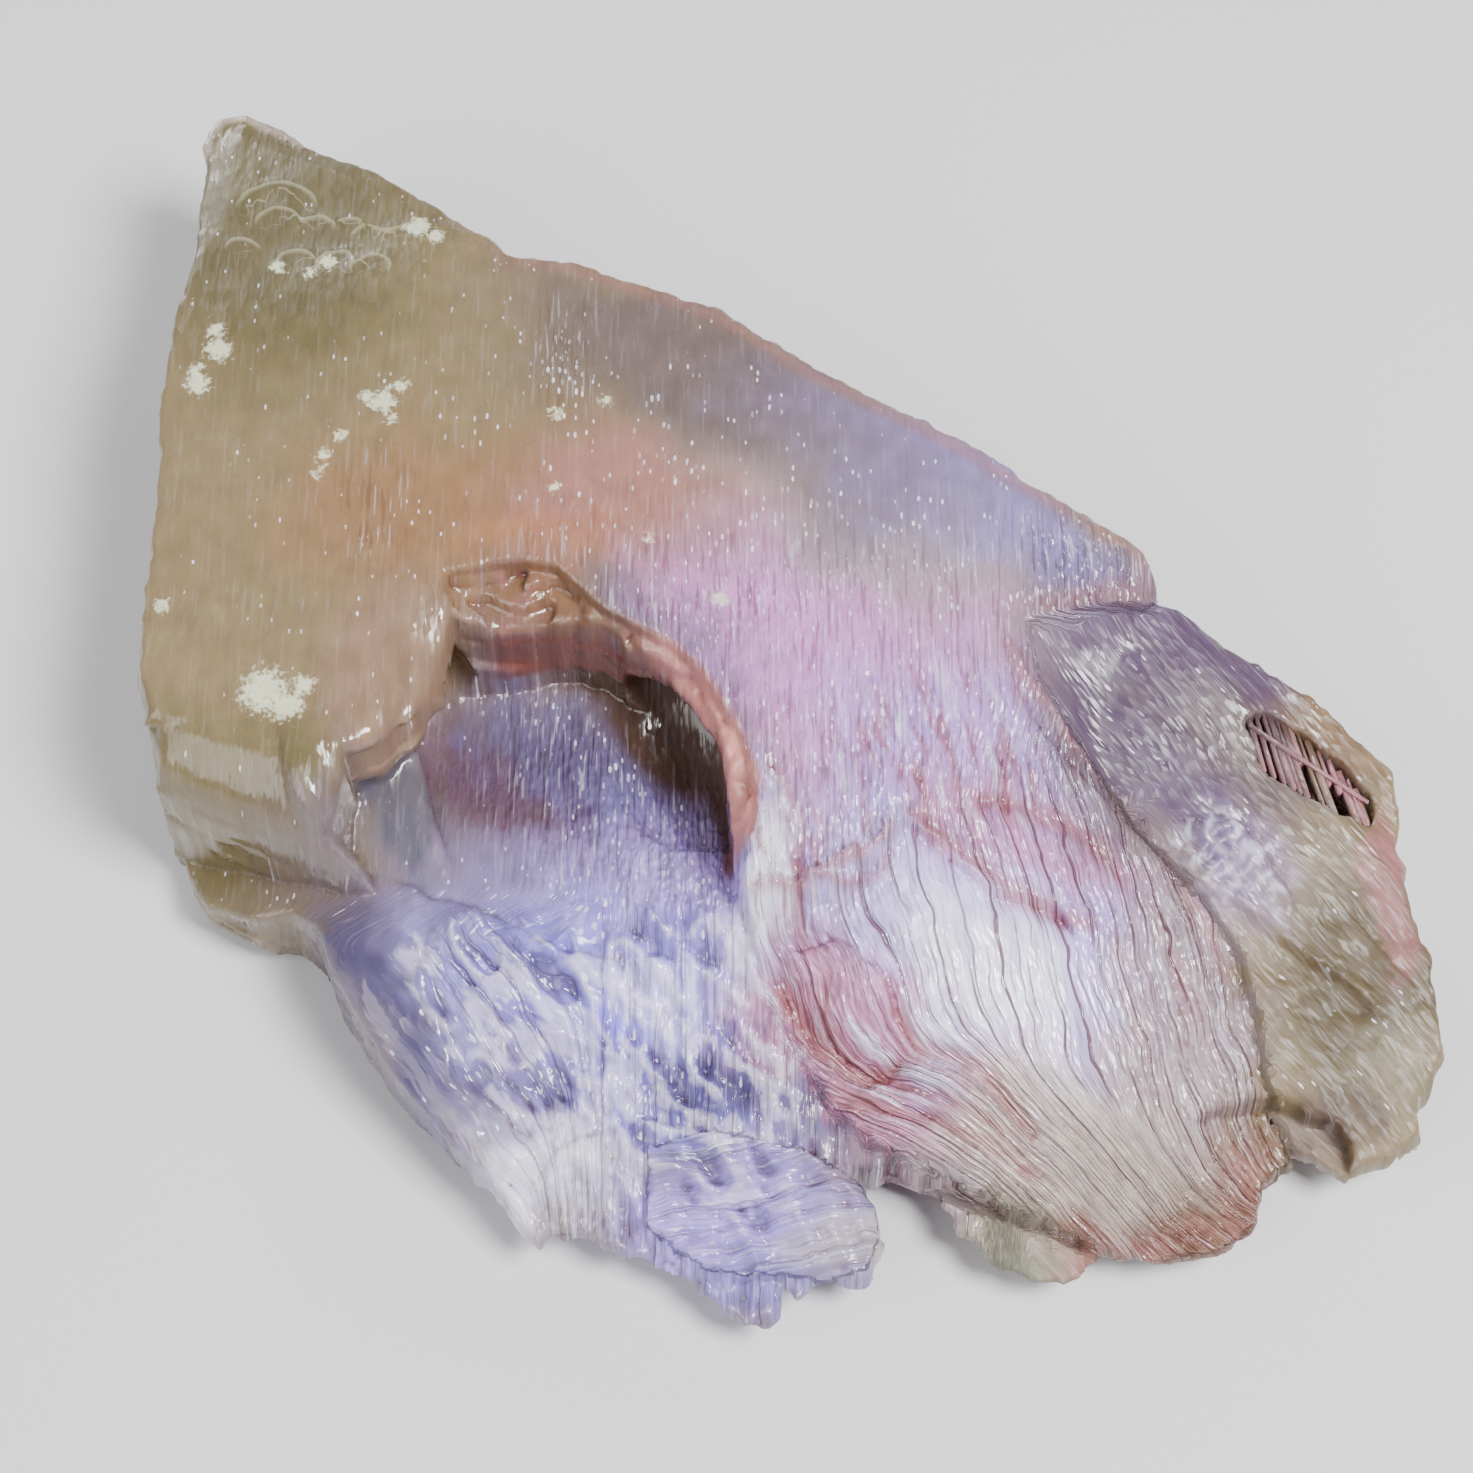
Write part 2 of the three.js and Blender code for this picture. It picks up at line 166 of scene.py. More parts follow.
NEAR_LEAF = [
    (-10, -36.5), (-5, -35.5), (1, -37), (5, -39), (6.5, -40.7), (6.8, -43), (5.8, -45.4),
    (1, -45.6), (-6, -45), (-10, -42),
]

RIGHT_WING = [
    (28, 4.5), (31, 3.4), (36, 0.2), (38, -1), (42.4, -4), (45.8, -8), (46.4, -11.5), (46.2, -14.5),
    (46.9, -15.7), (46, -16.2), (47, -20), (48, -22.5), (48, -24.5), (48.5, -29), (47.5, -32), (46.3, -33),
    (46.5, -35), (43.5, -37), (41.5, -37.5), (41.7, -36), (40.5, -34.5), (36, -32.5), (30, -34),
    (20, -20), (12, -6), (16, 8),
]

LIP_PLATE = [
    (5, -35), (8, -36.5), (11.3, -38.6), (12.7, -41.6), (15, -44), (17.8, -45.4), (21.1, -45.2),
    (22.4, -43.4), (26, -42), (26, -36), (12, -33),
]

WING_PLATE = [
    (35, -31), (37, -35), (40, -37), (41.3, -38), (42, -36), (44, -32), (38, -28),
]

FOOTPRINT = [
    (-43, 42), (-22, 31), (22, 8), (30, -8), (39, -22), (29, -34), (9, -31), (-14, -34),
    (-28, -25), (-43, -9),
]

WINDOW = [
    (34.9, -4.8), (36.6, -3.8), (39.6, -5.2), (42.6, -7.4), (44.6, -10.2), (44.3, -12.8), (42, -12),
    (39, -10.4), (36, -8.6),
]

FACET = [
    (-32.8, -6), (-28, -4.5), (-26.4, -11.1), (-24.6, -16), (-26.5, -20), (-29.5, -19), (-32.8, -14.5),
]

# Scarps, where one thin sheet ends and the next shows: sheet, drop, reach and an open path. The sheet
# on the path's right hand lies lower by the drop, and rises back over the reach.
SCARPS = [
    ("main", 1.15, 5.0, [  # the fan's lip
        (-1, -20.5), (2, -21.2), (5, -20), (7.5, -17.5), (8.7, -15.7), (10.5, -16.8), (14.5, -19.8),
        (17, -20.4), (20, -20.5), (24, -19.6)]),
    ("main", -0.9, 3.0, [  # the fan's shoulder
        (16.2, -2), (18.5, -6.6), (21, -9), (24, -11.4), (27.5, -14.6), (30, -17)]),
    ("main", -0.9, 2.4, [  # a loose block
        (-1.4, -24.4), (1, -24.3), (4, -24.2), (6.8, -26.6), (7.6, -28.4), (6.8, -30.9), (4.4, -30.8),
        (2, -28.6)]),
    ("apron", -0.8, 3.2, [  # the near wing's leaf
        (-30, -16), (-26.3, -18.2), (-24.4, -18.8), (-21, -20.1), (-18, -22), (-13.6, -23.2),
        (-9, -23.6), (-5, -25.2)]),
    ("apron", 0.6, 3.0, [  # the leaf's lobe
        (-20.7, -22), (-21, -24.3), (-22.6, -25.2), (-24.8, -23.8), (-26.8, -21.8)]),
    ("apron", -0.7, 3.6, [  # the wing's rim
        (-29, -20), (-26.9, -22.5), (-25.8, -26), (-24.4, -30), (-21.5, -33.5), (-17.5, -37)]),
    ("apron", -0.6, 3.4, [  # the outer leaf
        (-17.8, -42), (-18.2, -39.4), (-16.4, -36.6), (-13.5, -35.2), (-9.5, -34.6), (-6, -35.5)]),
    ("apron", 0.75, 4.5, [  # the inner leaf
        (-23, -26), (-18, -28.5), (-13.5, -29.6), (-9, -31.8), (-5.5, -33.5)]),
    ("wing", 0.8, 5.0, [  # a conchoid step
        (27.5, -15), (31.7, -17.8), (35.4, -19.9), (38.3, -22), (42, -24.8), (45, -28)]),
    ("wing", -0.7, 3.5, [  # the milky patch's edge
        (31, -11.5), (34.5, -13), (36.5, -15.5), (38.2, -19.5)]),
]

# Ropes and folds beside the fan's lip: half width, height (negative for a fold), rose share and path.
FOLDS = [
    (0.5, 0.75, 0.75, [(-3.4, -19.8), (-2.5, -20.9), (1.1, -20.6), (5.4, -18.3), (8.7, -15.7)]),
    (0.45, 0.5, 0.7, [(-0.4, -18.3), (2.2, -20.2), (4.7, -20.5), (6.8, -19.4), (8.3, -17.5)]),
    (1.0, -0.7, 0.8, [(8.4, -13.8), (10.2, -15.9), (14.2, -18.3), (16.4, -19.9), (20.1, -21), (24, -21.6)]),
    (0.8, -0.5, 0.7, [
        (12.5, -14.5), (14.7, -13.6), (18.1, -13.6), (20.8, -13.8), (23.4, -15.6), (25.5, -18.5)]),
    (0.45, 0.4, 0.6, [(16.5, 0.5), (17.5, -2.5), (19.1, -4.5), (21.4, -7.3), (23.7, -9.3), (26.5, -12.5)]),
    (0.9, -1.0, 0.95, [(-1.2, -25.5), (0.7, -27.9), (3.3, -30.9), (6.1, -32.6), (9.7, -31.4)]),
    (0.6, -0.55, 0.8, [(8.2, -28), (9.5, -31), (14, -32.4), (16.1, -34.7), (18.5, -37.5)]),
    (0.5, -0.45, 0.7, [(1, -32), (5, -34.4), (11, -35.4), (16, -38.2), (20, -40)]),
    (0.4, -0.4, 0.6, [(7, -33.5), (11, -34), (14.5, -35.8), (18.2, -38.6)]),
    (0.5, -0.5, 0.6, [(26.5, -12.5), (29.5, -16.5), (31.5, -20.5), (33.5, -25)]),
    (0.4, -0.4, 0.5, [(5, -10), (5.6, -12.5), (6, -15), (5.6, -17.5)]),
    (0.5, -0.5, 0.6, [(-1.2, -10.5), (0.4, -14), (1.2, -17), (0.6, -20)]),
]

# Growth arches near the tip: centre, radius and how far each side of +Y they reach, in radians.
ARCHES = [
    ((-40.5, 38.5), 3.4, 1.5), ((-40.3, 37.4), 1.9, 1.7), ((-37.2, 36.6), 1.8, 1.5),
    ((-34.6, 36.8), 1.4, 1.4), ((-33, 35.8), 1.5, 1.5), ((-38.6, 33.4), 1.7, 2.4),
    ((-35.4, 33.2), 1.6, 2.3), ((-32.4, 32.8), 1.5, 2.0), ((-30.2, 35.4), 1.7, 1.8),
    ((-43, 34.5), 1.6, 1.4),
]

# Dissolved undercuts, as ellipsoids turned by degrees: under the hollow's rim, and under its lobe.
UNDERCUTS = [
    dict(at=(-7.5, -6.5, 11.6), radii=(6.4, 8.2, 4.4), turn=28),
    dict(at=(-25.8, -2.5, 12.0), radii=(3.4, 7.0, 4.0), turn=20),
]

# ---- Small mathematics ----


def ease(value, low, high):
    t = np.clip((value - low) / (high - low), 0, 1)
    return t * t * (3 - 2 * t)


def soft_min(a, b, radius):
    """The lesser of two fields, with the edge between them rounded."""
    return 0.5 * (a + b - np.sqrt((a - b) ** 2 + radius * radius))


def lattice_value(ix, iy, seed):
    """A fixed value from 0 to 1 for each whole-number point."""
    h = (ix * 374761393 + iy * 668265263 + seed * 974634777) & 0xFFFFFFFF
    h = ((h ^ (h >> 13)) * 1274126177) & 0xFFFFFFFF
    return ((h ^ (h >> 16)) & 0xFFFFFF) / float(0xFFFFFF)


def noise(x, y, seed, size=1):
    """Smooth gradient noise, about -1 to 1, whose waves are about as long as the size."""
    x, y = x / size, y / size
    ix, iy = np.floor(x).astype(np.int64), np.floor(y).astype(np.int64)
    fx, fy = x - ix, y - iy

    def corner(dx, dy):
        angle = 2 * math.pi * lattice_value(ix + dx, iy + dy, seed)
        return np.cos(angle) * (fx - dx) + np.sin(angle) * (fy - dy)

    u, v = ease(fx, 0, 1), ease(fy, 0, 1)
    near = corner(0, 0) * (1 - u) + corner(1, 0) * u
    far = corner(0, 1) * (1 - u) + corner(1, 1) * u
    return 1.6 * (near * (1 - v) + far * v)


def rough(x, y, seed, size=1):
    """Noise with finer noise on it."""
    x, y = x / size, y / size
    total = 0.0
    for octave in range(3):
        scale = 2.0 ** octave
        total = total + noise(x * scale, y * scale, seed + octave) / scale
    return total


def crags(x, y, seed):
    """Sharp crests and hollows, about -1 to 1."""
    finer = 0.6 - 2.0 * np.abs(noise(2.1 * x, 1.9 * y, seed + 1))
    return 1.0 - 2.6 * np.abs(noise(x, y, seed)) + 0.5 * finer


def turned(x, y, centre, degrees):
    """Places seen from a centre, along axes turned by an angle."""
    dx, dy = x - centre[0], y - centre[1]
    c, s = math.cos(math.radians(degrees)), math.sin(math.radians(degrees))
    return dx * c + dy * s, dy * c - dx * s


def blob(x, y, centre, radii, degrees=0):
    """A soft round patch: 1 at its centre, 0 outside its radii."""
    u, v = turned(x, y, centre, degrees)
    return 1 - ease(np.hypot(u / radii[0], v / radii[1]), 0.25, 1.0)


def blobs(x, y, patches):
    """The sum of soft patches, each given as strength, centre, radii and turn in degrees."""
    return sum(strength * blob(x, y, *shape) for strength, *shape in patches)


def depth_in(outline, x, y):
    """How far inside a closed outline, negative outside it."""
    nearest = np.full(x.shape, 1e9)
    inside = np.zeros(x.shape, bool)
    for (ax, ay), (bx, by) in zip(outline, outline[1:] + outline[:1]):
        ex, ey = bx - ax, by - ay
        t = np.clip(((x - ax) * ex + (y - ay) * ey) / (ex * ex + ey * ey), 0, 1)
        nearest = np.minimum(nearest, np.hypot(x - ax - t * ex, y - ay - t * ey))
        if ey:
            crosses = (ay > y) != (by > y)
            inside ^= crosses & (x < ax + (y - ay) * ex / ey)
    return np.where(inside, nearest, -nearest)


def path_distance(path, x, y):
    """(distance to an open path, negative on its right, and how far along it, 0 to 1)."""
    points = np.array(path, float)
    lengths = np.hypot(*(points[1:] - points[:-1]).T)
    starts = np.concatenate([[0], np.cumsum(lengths)])
    nearest = np.full(x.shape, 1e9)
    along = np.zeros(x.shape)
    side = np.ones(x.shape)
    for i, ((ax, ay), (bx, by)) in enumerate(zip(path, path[1:])):
        ex, ey = bx - ax, by - ay
        t = np.clip(((x - ax) * ex + (y - ay) * ey) / lengths[i] ** 2, 0, 1)
        distance = np.hypot(x - ax - t * ex, y - ay - t * ey)
        closer = distance < nearest
        nearest = np.where(closer, distance, nearest)
        along = np.where(closer, (starts[i] + t * lengths[i]) / starts[-1], along)
        side = np.where(closer, np.sign(ex * (y - ay) - ey * (x - ax)), side)
    return nearest * side, along


# ---- Relief ----


def wobble(x, y):
    """The low waves that the solid has too."""
    return 0.22 * np.sin(0.31 * x + 0.12 * y) + 0.16 * np.sin(0.17 * x - 0.43 * y + 1.3)


def soft_positive(value, radius):
    """The value where it is positive and 0 where it isn't, with the corner rounded."""
    return 0.5 * (value + np.sqrt(value * value + radius * radius))


def across_fan(x, y):
    """Millimetres across the fan's fibres, which swing out from the recess on its left."""
    left_of_recess = -(y + 30 + 0.45 * soft_positive(x - 14, 2.0))
    swing = 0.014 * np.maximum(0, -31 - y) ** 2 + 1.5 * soft_positive(left_of_recess, 1.5)
    return x + 0.24 * (y + 20) - swing + 0.5 * rough(x / 7, y / 6, 11)


def across_near_wing(x, y):
    """The same on the near wing, whose fibres slant, then run upright, and lie level on its leaf."""
    slanted = 0.8 * (x + 16) + 0.62 * (y + 29) - 16 + 0.5 * rough(x, y, 53, 6)
    upright = ease(x, -19, -13)
    level = y - 0.16 * x + 0.3 * rough(x, y, 54, 5)
    return np.where(depth_in(NEAR_LEAF, x, y) > 0, level, slanted * (1 - upright) + x * upright)


def across_right_wing(x, y):
    return 0.78 * (x + 0.8 * y) + 0.4 * rough(x, y, 63, 8)


def fold_relief(x, y):
    """(height, share of rose) of the ropes and folds."""
    height, share = np.zeros(x.shape), np.zeros(x.shape)
    shake = 0.35 * rough(x, y, 141, 1.8)
    for width, rise, rose, path in FOLDS:
        offset, along = path_distance(path, x + shake, y - shake)
        profile = np.exp(-(offset / width) ** 2) * ease(along, 0, 0.12) * ease(1 - along, 0, 0.12)
        height += rise * profile
        share = np.maximum(share, rose * profile)
    return height, share


def bundled(x, y):
    """Where the fan's fibres stand in loose bundles, 0 to 1."""
    above_lip = np.maximum(blob(x, y, (12, -10), (13, 10)), 0.9 * blob(x, y, (0, -19), (6, 10)))
    below_lip = np.maximum(blob(x, y, (6, -31), (13, 7), -15), 0.3 * blob(x, y, (16, -27), (14, 12), -40))
    on_right = 0.5 * blob(x, y, (29, -26), (6, 14), 17.2)
    return np.maximum(np.maximum(above_lip, below_lip), on_right)


def bundles(x, y):
    """The bundles of fibres, about -1 in a fold to 1 on a crest."""
    u = across_fan(x, y)
    return noise(u / 1.35, y / 7, 143) + 0.75 * noise(u / 0.6, y / 3.6, 144)


def flute_phase(x, y):
    """Whole numbers of this lie on the fan's cracks."""
    u = across_fan(x, y)
    u = u + 0.35 * soft_positive(u - 24, 3)
    return u / FLUTE_PERIOD + 0.42 * noise(u / 4.3, y / 26, 15) + 0.1 * noise(u / 1.5, y / 4, 16)


def plates(phase, sharp=0.84):
    """Overlapping plates: each rises slowly over one unit of phase and ends in a sharp edge."""
    t = phase - np.floor(phase)
    return t ** 1.4 * (1 - ease(t, sharp, 1.0)) - 0.35


def striations(x, y, period, seed):
    """Fine ridges along Y, which start and stop."""
    wide = noise(x / period, y / (14 * period), seed)
    narrow = noise(2.1 * x / period, y / (8 * period), seed + 1)
    return (wide + 0.6 * narrow) * (0.6 + 0.5 * noise(x / 9, y / 9, seed + 2))


def scarp(x, y, drop, reach, path, seed):
    """A local step down on the right of a path. A negative drop raises that side instead."""
    shake = 0.28 * rough(x / 2.2, y / 2.2, seed)
    sway = 0.28 * rough(x / 2.2, y / 2.2, seed + 7)
    offset, along = path_distance(path, x + shake, y + sway)
    ends = ease(along, 0.0, 0.15) * ease(1 - along, 0.0, 0.15)
    lower = ease(-offset, -0.2, 0.25)
    lip = 0.3 * np.exp(-(offset / 0.5) ** 2)
    return ends * (lip * np.sign(drop) - drop * lower * np.exp(-np.abs(offset) / reach))


def scarps_on(sheet, x, y):
    total = 0.0
    for number, (scarp_sheet, *shape) in enumerate(SCARPS):
        if scarp_sheet == sheet:
            total = total + scarp(x, y, *shape, 400 + 10 * number)
    return total


def arch_place(x, y):
    """(millimetres outside the nearest growth arch, 1 where that arch is drawn)."""
    nearest, drawn = np.full(x.shape, 9.0), np.zeros(x.shape)
    for (cx, cy), radius, half_turn in ARCHES:
        angle = np.abs(np.arctan2(x - cx, y - cy))
        outside = np.hypot(x - cx, y - cy) - radius + 0.15 * noise(x, y, 61, 1.1)
        closer = (np.abs(outside) < np.abs(nearest)) & (angle < half_turn + 0.2)
        nearest = np.where(closer, outside, nearest)
        drawn = np.where(closer, 1 - ease(angle, half_turn - 0.6, half_turn), drawn)
    return nearest, drawn


def down_fan(x, y):
    """(distance down the fan from where the slab rolls over, and distance across it)."""
    dx, dy = x - FAN_START[0], y - FAN_START[1]
    right, ahead = FAN_DIRECTION
    return dx * right + dy * ahead, -dx * ahead + dy * right


def slab_body(x, y):
    """(the slab's face without its fine relief, and the distance down the fan)."""
    slab = PLATEAU_Z - TIP_DROP * ease(y, 30, 49) - RIGHT_FALL * np.maximum(0, x - RIGHT_FALL_FROM)
    along, across = down_fan(x, y)
    roll = FAN_DROP * (np.maximum(0, along) / FAN_LENGTH) ** 1.6
    sides = np.where(across < 0, 0.04, 0.011) * across ** 2 * ease(along, -4, 8)
    return np.maximum(slab - roll - sides, LEAST_EDGE_Z) + wobble(x, y), along


def main_top(x, y):
    body, along = slab_body(x, y)
    fluted = ease(along, -1, 9)
    phase = flute_phase(x, y)
    strength = np.clip(0.55 + 0.6 * noise(phase / 1.3, y / 11, 17), 0.08, 1.1)
    deeper = 1 + 0.8 * ease(x, 26, 31) + 0.5 * ease(-y, 33, 38)
    flutes = 0.4 * fluted * strength * deeper * plates(phase, 0.9)
    broad = 0.7 * fluted * plates(phase / 3.7 + 0.3)
    loose = bundled(x, y) * (0.5 * bundles(x, y) + 0.25 * rough(x / 1.6, y / 2.6, 24))
    recess = blobs(x, y, [(-1.1, (5, -31), (7, 3), -12), (-0.8, (-0.8, -27), (1.6, 3))])
    ridge = 0.6 * blob(x, y, (-1.8, -20), (1.5, 6), 8)
    lip = blob(x, y, (26, -41), (17, 5), 12)
    ripple = 0.3 * lip * rough(x, y, 29, 1.8)

    flat = 1 - fluted
    lines = 0.06 * flat * striations(x, y, 0.85, 31) + 0.05 * flat * rough(x, y, 41, 1.3)
    bumpy = blob(x, y, (24, 6.5), (9, 5), -28)
    knobs = 0.5 * bumpy * rough(x / 1.1, y / 2.4, 37)
    bevel = -0.6 * (1 - ease(depth_in(MAIN, x, y), 0.1, 2.0)) * ease(y + 0.55 * x, 8, 14)
    roll = -0.8 * blob(x, y, (-25, -4), (6, 10), 12) ** 2
    comb = 0.25 * blob(x, y, (-28, -2), (6, 12), 12) * striations(x, y, 0.9, 33)
    outside, drawn = arch_place(x, y)
    marks = lines + 0.12 * drawn * np.exp(-(outside / 0.35) ** 2) + knobs + roll + comb
    surface = flutes + broad + loose + recess + ridge + ripple + marks + fold_relief(x, y)[0]
    return body - 0.15 + surface + bevel + scarps_on("main", x, y)


def leaf_crags(x, y):
    """The near wing's broken leaves, about -1 in a gap to 1 on a crest."""
    return crags((0.75 * x + 0.65 * y) / 2.3, (0.75 * y - 0.65 * x) / 5, 57)


def apron_top(x, y):
    sill = CREST_Z + 2.6 * np.exp(-((x + 4) ** 2 + (y + 21) ** 2) / 40)
    floor = sill - (sill - HOLLOW_FLOOR_Z) * ease(y, CREST_Y, -3)
    slope = APRON_SLOPE * np.maximum(0, CREST_Y - y)
    left_fall = 0.42 * np.maximum(0, -31 - x)
    body = np.maximum(floor - slope - left_fall, 4.4) + wobble(x, y)

    hollow = ease(y, -23, -17)
    comb = 0.24 * hollow * ease(x, -31, -25) * striations(x, y, 0.9, 51)
    wing = 1 - hollow
    inner = ease(x + 0.35 * y, -37, -31)
    u = across_near_wing(x, y)
    ribs = 0.4 * wing * inner * plates(u / 1.9) * np.clip(0.6 + 0.8 * noise(u / 5, y / 10, 55), 0, 1.3)
    loose = 0.42 * wing * inner * (noise(u / 1.1, (y - x) / 5, 56) + 0.7 * noise(u / 0.55, (y - x) / 3, 58))
    lumps = loose + 0.6 * wing * inner * leaf_crags(x, y) + 1.0 * blob(x, y, (-17.5, -38), (5.5, 3.5))
    rim_profile = np.exp(-((depth_in(APRON, x, y) - 1.6) / 1.3) ** 2)
    rim = 0.7 * wing * rim_profile * (1 - ease(x, -24, -18))
    lobe = 0.8 * blob(x, y, (-23.4, -21.8), (4.2, 3.6), -30)
    beside_fan = np.exp(-np.maximum(0, -depth_in(MAIN, x, y)) / 3.5)
    body = body + 2.0 * beside_fan * ease(-y, 17, 24) * ease(x, -12, -6)
    return body + comb + ribs + lumps + rim + lobe + scarps_on("apron", x, y)


def wing_top(x, y):
    bevel = WING_BEVEL * ease(x + 0.8 * y, 31.5, 36.5)
    body = WING_Z + WING_SLOPE * (y - WING_FROM_Y) - bevel + wobble(x, y)
    facet = blob(x, y, (26, -5.5), (11, 7.5), -38)
    u = across_right_wing(x, y)
    ribbed = ease(-y, 13, 20)
    ribs = 0.32 * ribbed * plates(u / 2.6) * np.clip(0.6 + 0.8 * noise(u / 5, y / 9, 65), 0, 1.2)
    lumps = 0.2 * ribbed * rough(x, y, 67, 1.7)
    milk = 0.35 * blob(x, y, (33.5, -15.5), (7, 5), -45) * crags(x / 2.2, y / 2.2, 68)
    band = ease(x + 0.8 * y, 31.5, 33)
    fibres = 0.2 * band * noise((x + 0.8 * y) / 0.75, (y - 0.8 * x) / 9, 69)
    beside_slab = 0.95 * np.exp(-np.maximum(0, -depth_in(MAIN, x, y)) / 3.6)
    body = body + beside_slab * np.maximum(0, slab_body(x, y)[0] - 0.25 - body) * ease(y, -33, -27)
    return body - 0.5 * facet + ribs + lumps + milk + fibres + scarps_on("wing", x, y)


def shelf_top(x, y):
    """The hollow's rim, which breaks off in uneven steps on the way in."""
    shake = 1.3 * noise(x / 2.9, y / 2.4, 111) + 0.5 * noise(x, y, 112, 1.1)
    inwards = shake - depth_in(MAIN, x, y)
    steps = 0.7 * ease(inwards, 0.8, 1.0) + 0.8 * ease(inwards, 2.3, 2.5)
    fall = (0.15 + 0.7 * ease(x, -14, -7)) * np.maximum(0, inwards)
    return 19.2 - steps - fall + 0.1 * rough(x, y, 113, 0.9)


def shoulder_top(x, y):
    """The waxy slope below the slab's lower left edge, with one faint step in it."""
    outwards = np.maximum(0, -depth_in(MAIN, x, y))
    step = 0.5 * ease(outwards + 0.8 * noise(x / 5, y / 3, 115), 3.4, 3.9)
    return 19.8 - 0.42 * outwards - 0.045 * outwards ** 2 - step + 0.1 * rough(x / 3, y / 2, 117)


def underside(x, y):
    """Flat inside the footprint, rising in small steps outside it."""
    away = np.maximum(0, -depth_in(FOOTPRINT, x, y))
    rise = np.minimum(UNDERSIDE_SLOPE * away, UNDERSIDE_RISE)
    return rise + 0.3 * ease(away, 0.5, 2) * np.abs(rough(x, y, 73, 3))


# ---- The field ----


def sheets_at(x, y):
    """Each sheet's depth inside its outline, its upper face, how torn its edge is, and how round."""
    tear = 0.3 * rough(x, y, 81, 3.4) + 0.16 * noise(x, y, 85, 0.9)
    ragged = 0.5 * rough(x, y, 87, 2.0)
    hollow_wall = blob(x, y, (-14, -2), (19, 14))
    knob = blob(x, y, (-27, -4), (8, 11))
    lower_left = blob(x, y, (-41, -9), (16, 7))
    flutes = 0.45 * knob * noise((x - 0.4 * y) / 0.9, (x + y) / 9, 89)
    calm = 1 - 0.8 * np.maximum(hollow_wall, lower_left)
    main_edge = tear * calm * (0.8 + 0.6 * ease(-y, 30, 36)) + flutes
    main_growth = MAIN_GROWTH + 0.7 * blob(x, y, (-44, 49), (9, 7))
    main_round = 0.35 + 0.5 * ease(x, -12, -6) * hollow_wall + 1.5 * knob + 1.2 * lower_left
    apron = apron_top(x, y)
    lip_plate = PLATE_Z + 0.12 * (y + 40) + 0.6 * striations(x + 0.5 * y, y, 1.1, 95)

    def sheet(outline, top, edge_noise, torn, radius=0.35, growth=SHEET_GROWTH):
        return depth_in(outline, x, y) + edge_noise + growth, top, torn, radius

    return [
        sheet(MAIN, main_top(x, y), main_edge, 0.5 * (1 - 0.85 * hollow_wall), main_round, main_growth),
        sheet(RIM_SHELF, shelf_top(x, y), 0.8 * tear, 0.15, 0.5),
        sheet(SIDE_LEDGE, 12.5 - 0.1 * np.maximum(0, x) + 1.5 * np.sin(0.13 * x - 0.1 * y), tear, 0.3),
        sheet(SHOULDER, shoulder_top(x, y), 0.6 * tear, 0.15, 2.2),
        sheet(TONGUE, shoulder_top(x, y) + 0.9, 0.3 * tear, 0.1, 1.3),
        sheet(FACET, 12.7 + 0.22 * (y + 11), 0.2 * tear, 0.1, 0.8),
        sheet(APRON, apron, ragged * ease(-y, 34, 40) + 0.4 * tear, 0.3),
        sheet(NEAR_LEAF, apron + 0.9, 0.7 * ragged, 0.2),
        sheet(RIGHT_WING, wing_top(x, y), tear, 0.4),
        sheet(LIP_PLATE, lip_plate, ragged, 0.2),
        sheet(WING_PLATE, PLATE_Z + 0.3 * striations(x + y, y, 0.9, 96), ragged, 0.2),
    ]


def lamina_of(z):
    """The number of the cleavage sheet at a height. The sheets are of uneven thickness."""
    return int(math.floor(z / LAMINA + 0.45 * math.sin(1.7 * z) + 0.2 * math.sin(4.1 * z + 1)))


def ellipsoid_distance(x, y, z, at, radii, turn):
    """Distance outside an ellipsoid, near its surface."""
    u, v = turned(x, y, at, turn)
    r = np.sqrt((u / radii[0]) ** 2 + (v / radii[1]) ** 2 + ((z - at[2]) / radii[2]) ** 2)
    return (r - 1) * min(radii)


def crystal_field():
    """The field on a grid, as (values[z, y, x], origin)."""
    margin = 1.5
    low = np.array([c / MM for c in cad_box[0]]) - margin
    high = np.array([c / MM for c in cad_box[1]]) + margin
    xs, ys, zs = (np.arange(low[i], high[i], VOXEL) for i in range(3))
    x, y = np.meshgrid(xs, ys)
    sheets = sheets_at(x, y)
    base = underside(x, y)
    window = depth_in(WINDOW, x, y) + 0.2 * rough(x, y, 97)
    window_floor = wing_top(x, y) - WINDOW_DEPTH + 0.5 * rough(x, y, 98, 1.5)
    field = np.empty((len(zs), len(ys), len(xs)), np.float32)
    tears = {}
    for k, z in enumerate(zs):
        lamina = lamina_of(z)
        if lamina not in tears:
            coarse = noise(x / 5.5, y / 5.5, 200 + 3 * lamina)
            tears[lamina] = coarse + 0.5 * noise(x / 1.8, y / 1.8, 201 + 3 * lamina)
        solid = np.full(x.shape, -9.0)
        for depth, top, torn, radius in sheets:
            edge = depth + torn * ease(top - z, 0.6, 2.0) * tears[lamina]
            solid = np.maximum(solid, soft_min(edge, top - z, radius))
        solid = np.minimum(solid, z - base)
        for cut in UNDERCUTS:
            solid = np.minimum(solid, ellipsoid_distance(x, y, z, **cut) + 0.12 * tears[lamina])
        solid = np.minimum(solid, -soft_min(window, z - window_floor, 0.3))
        field[k] = np.clip(solid, -2, 2)
    return field, np.array([xs[0], ys[0], zs[0]])


# ---- From field to mesh ----


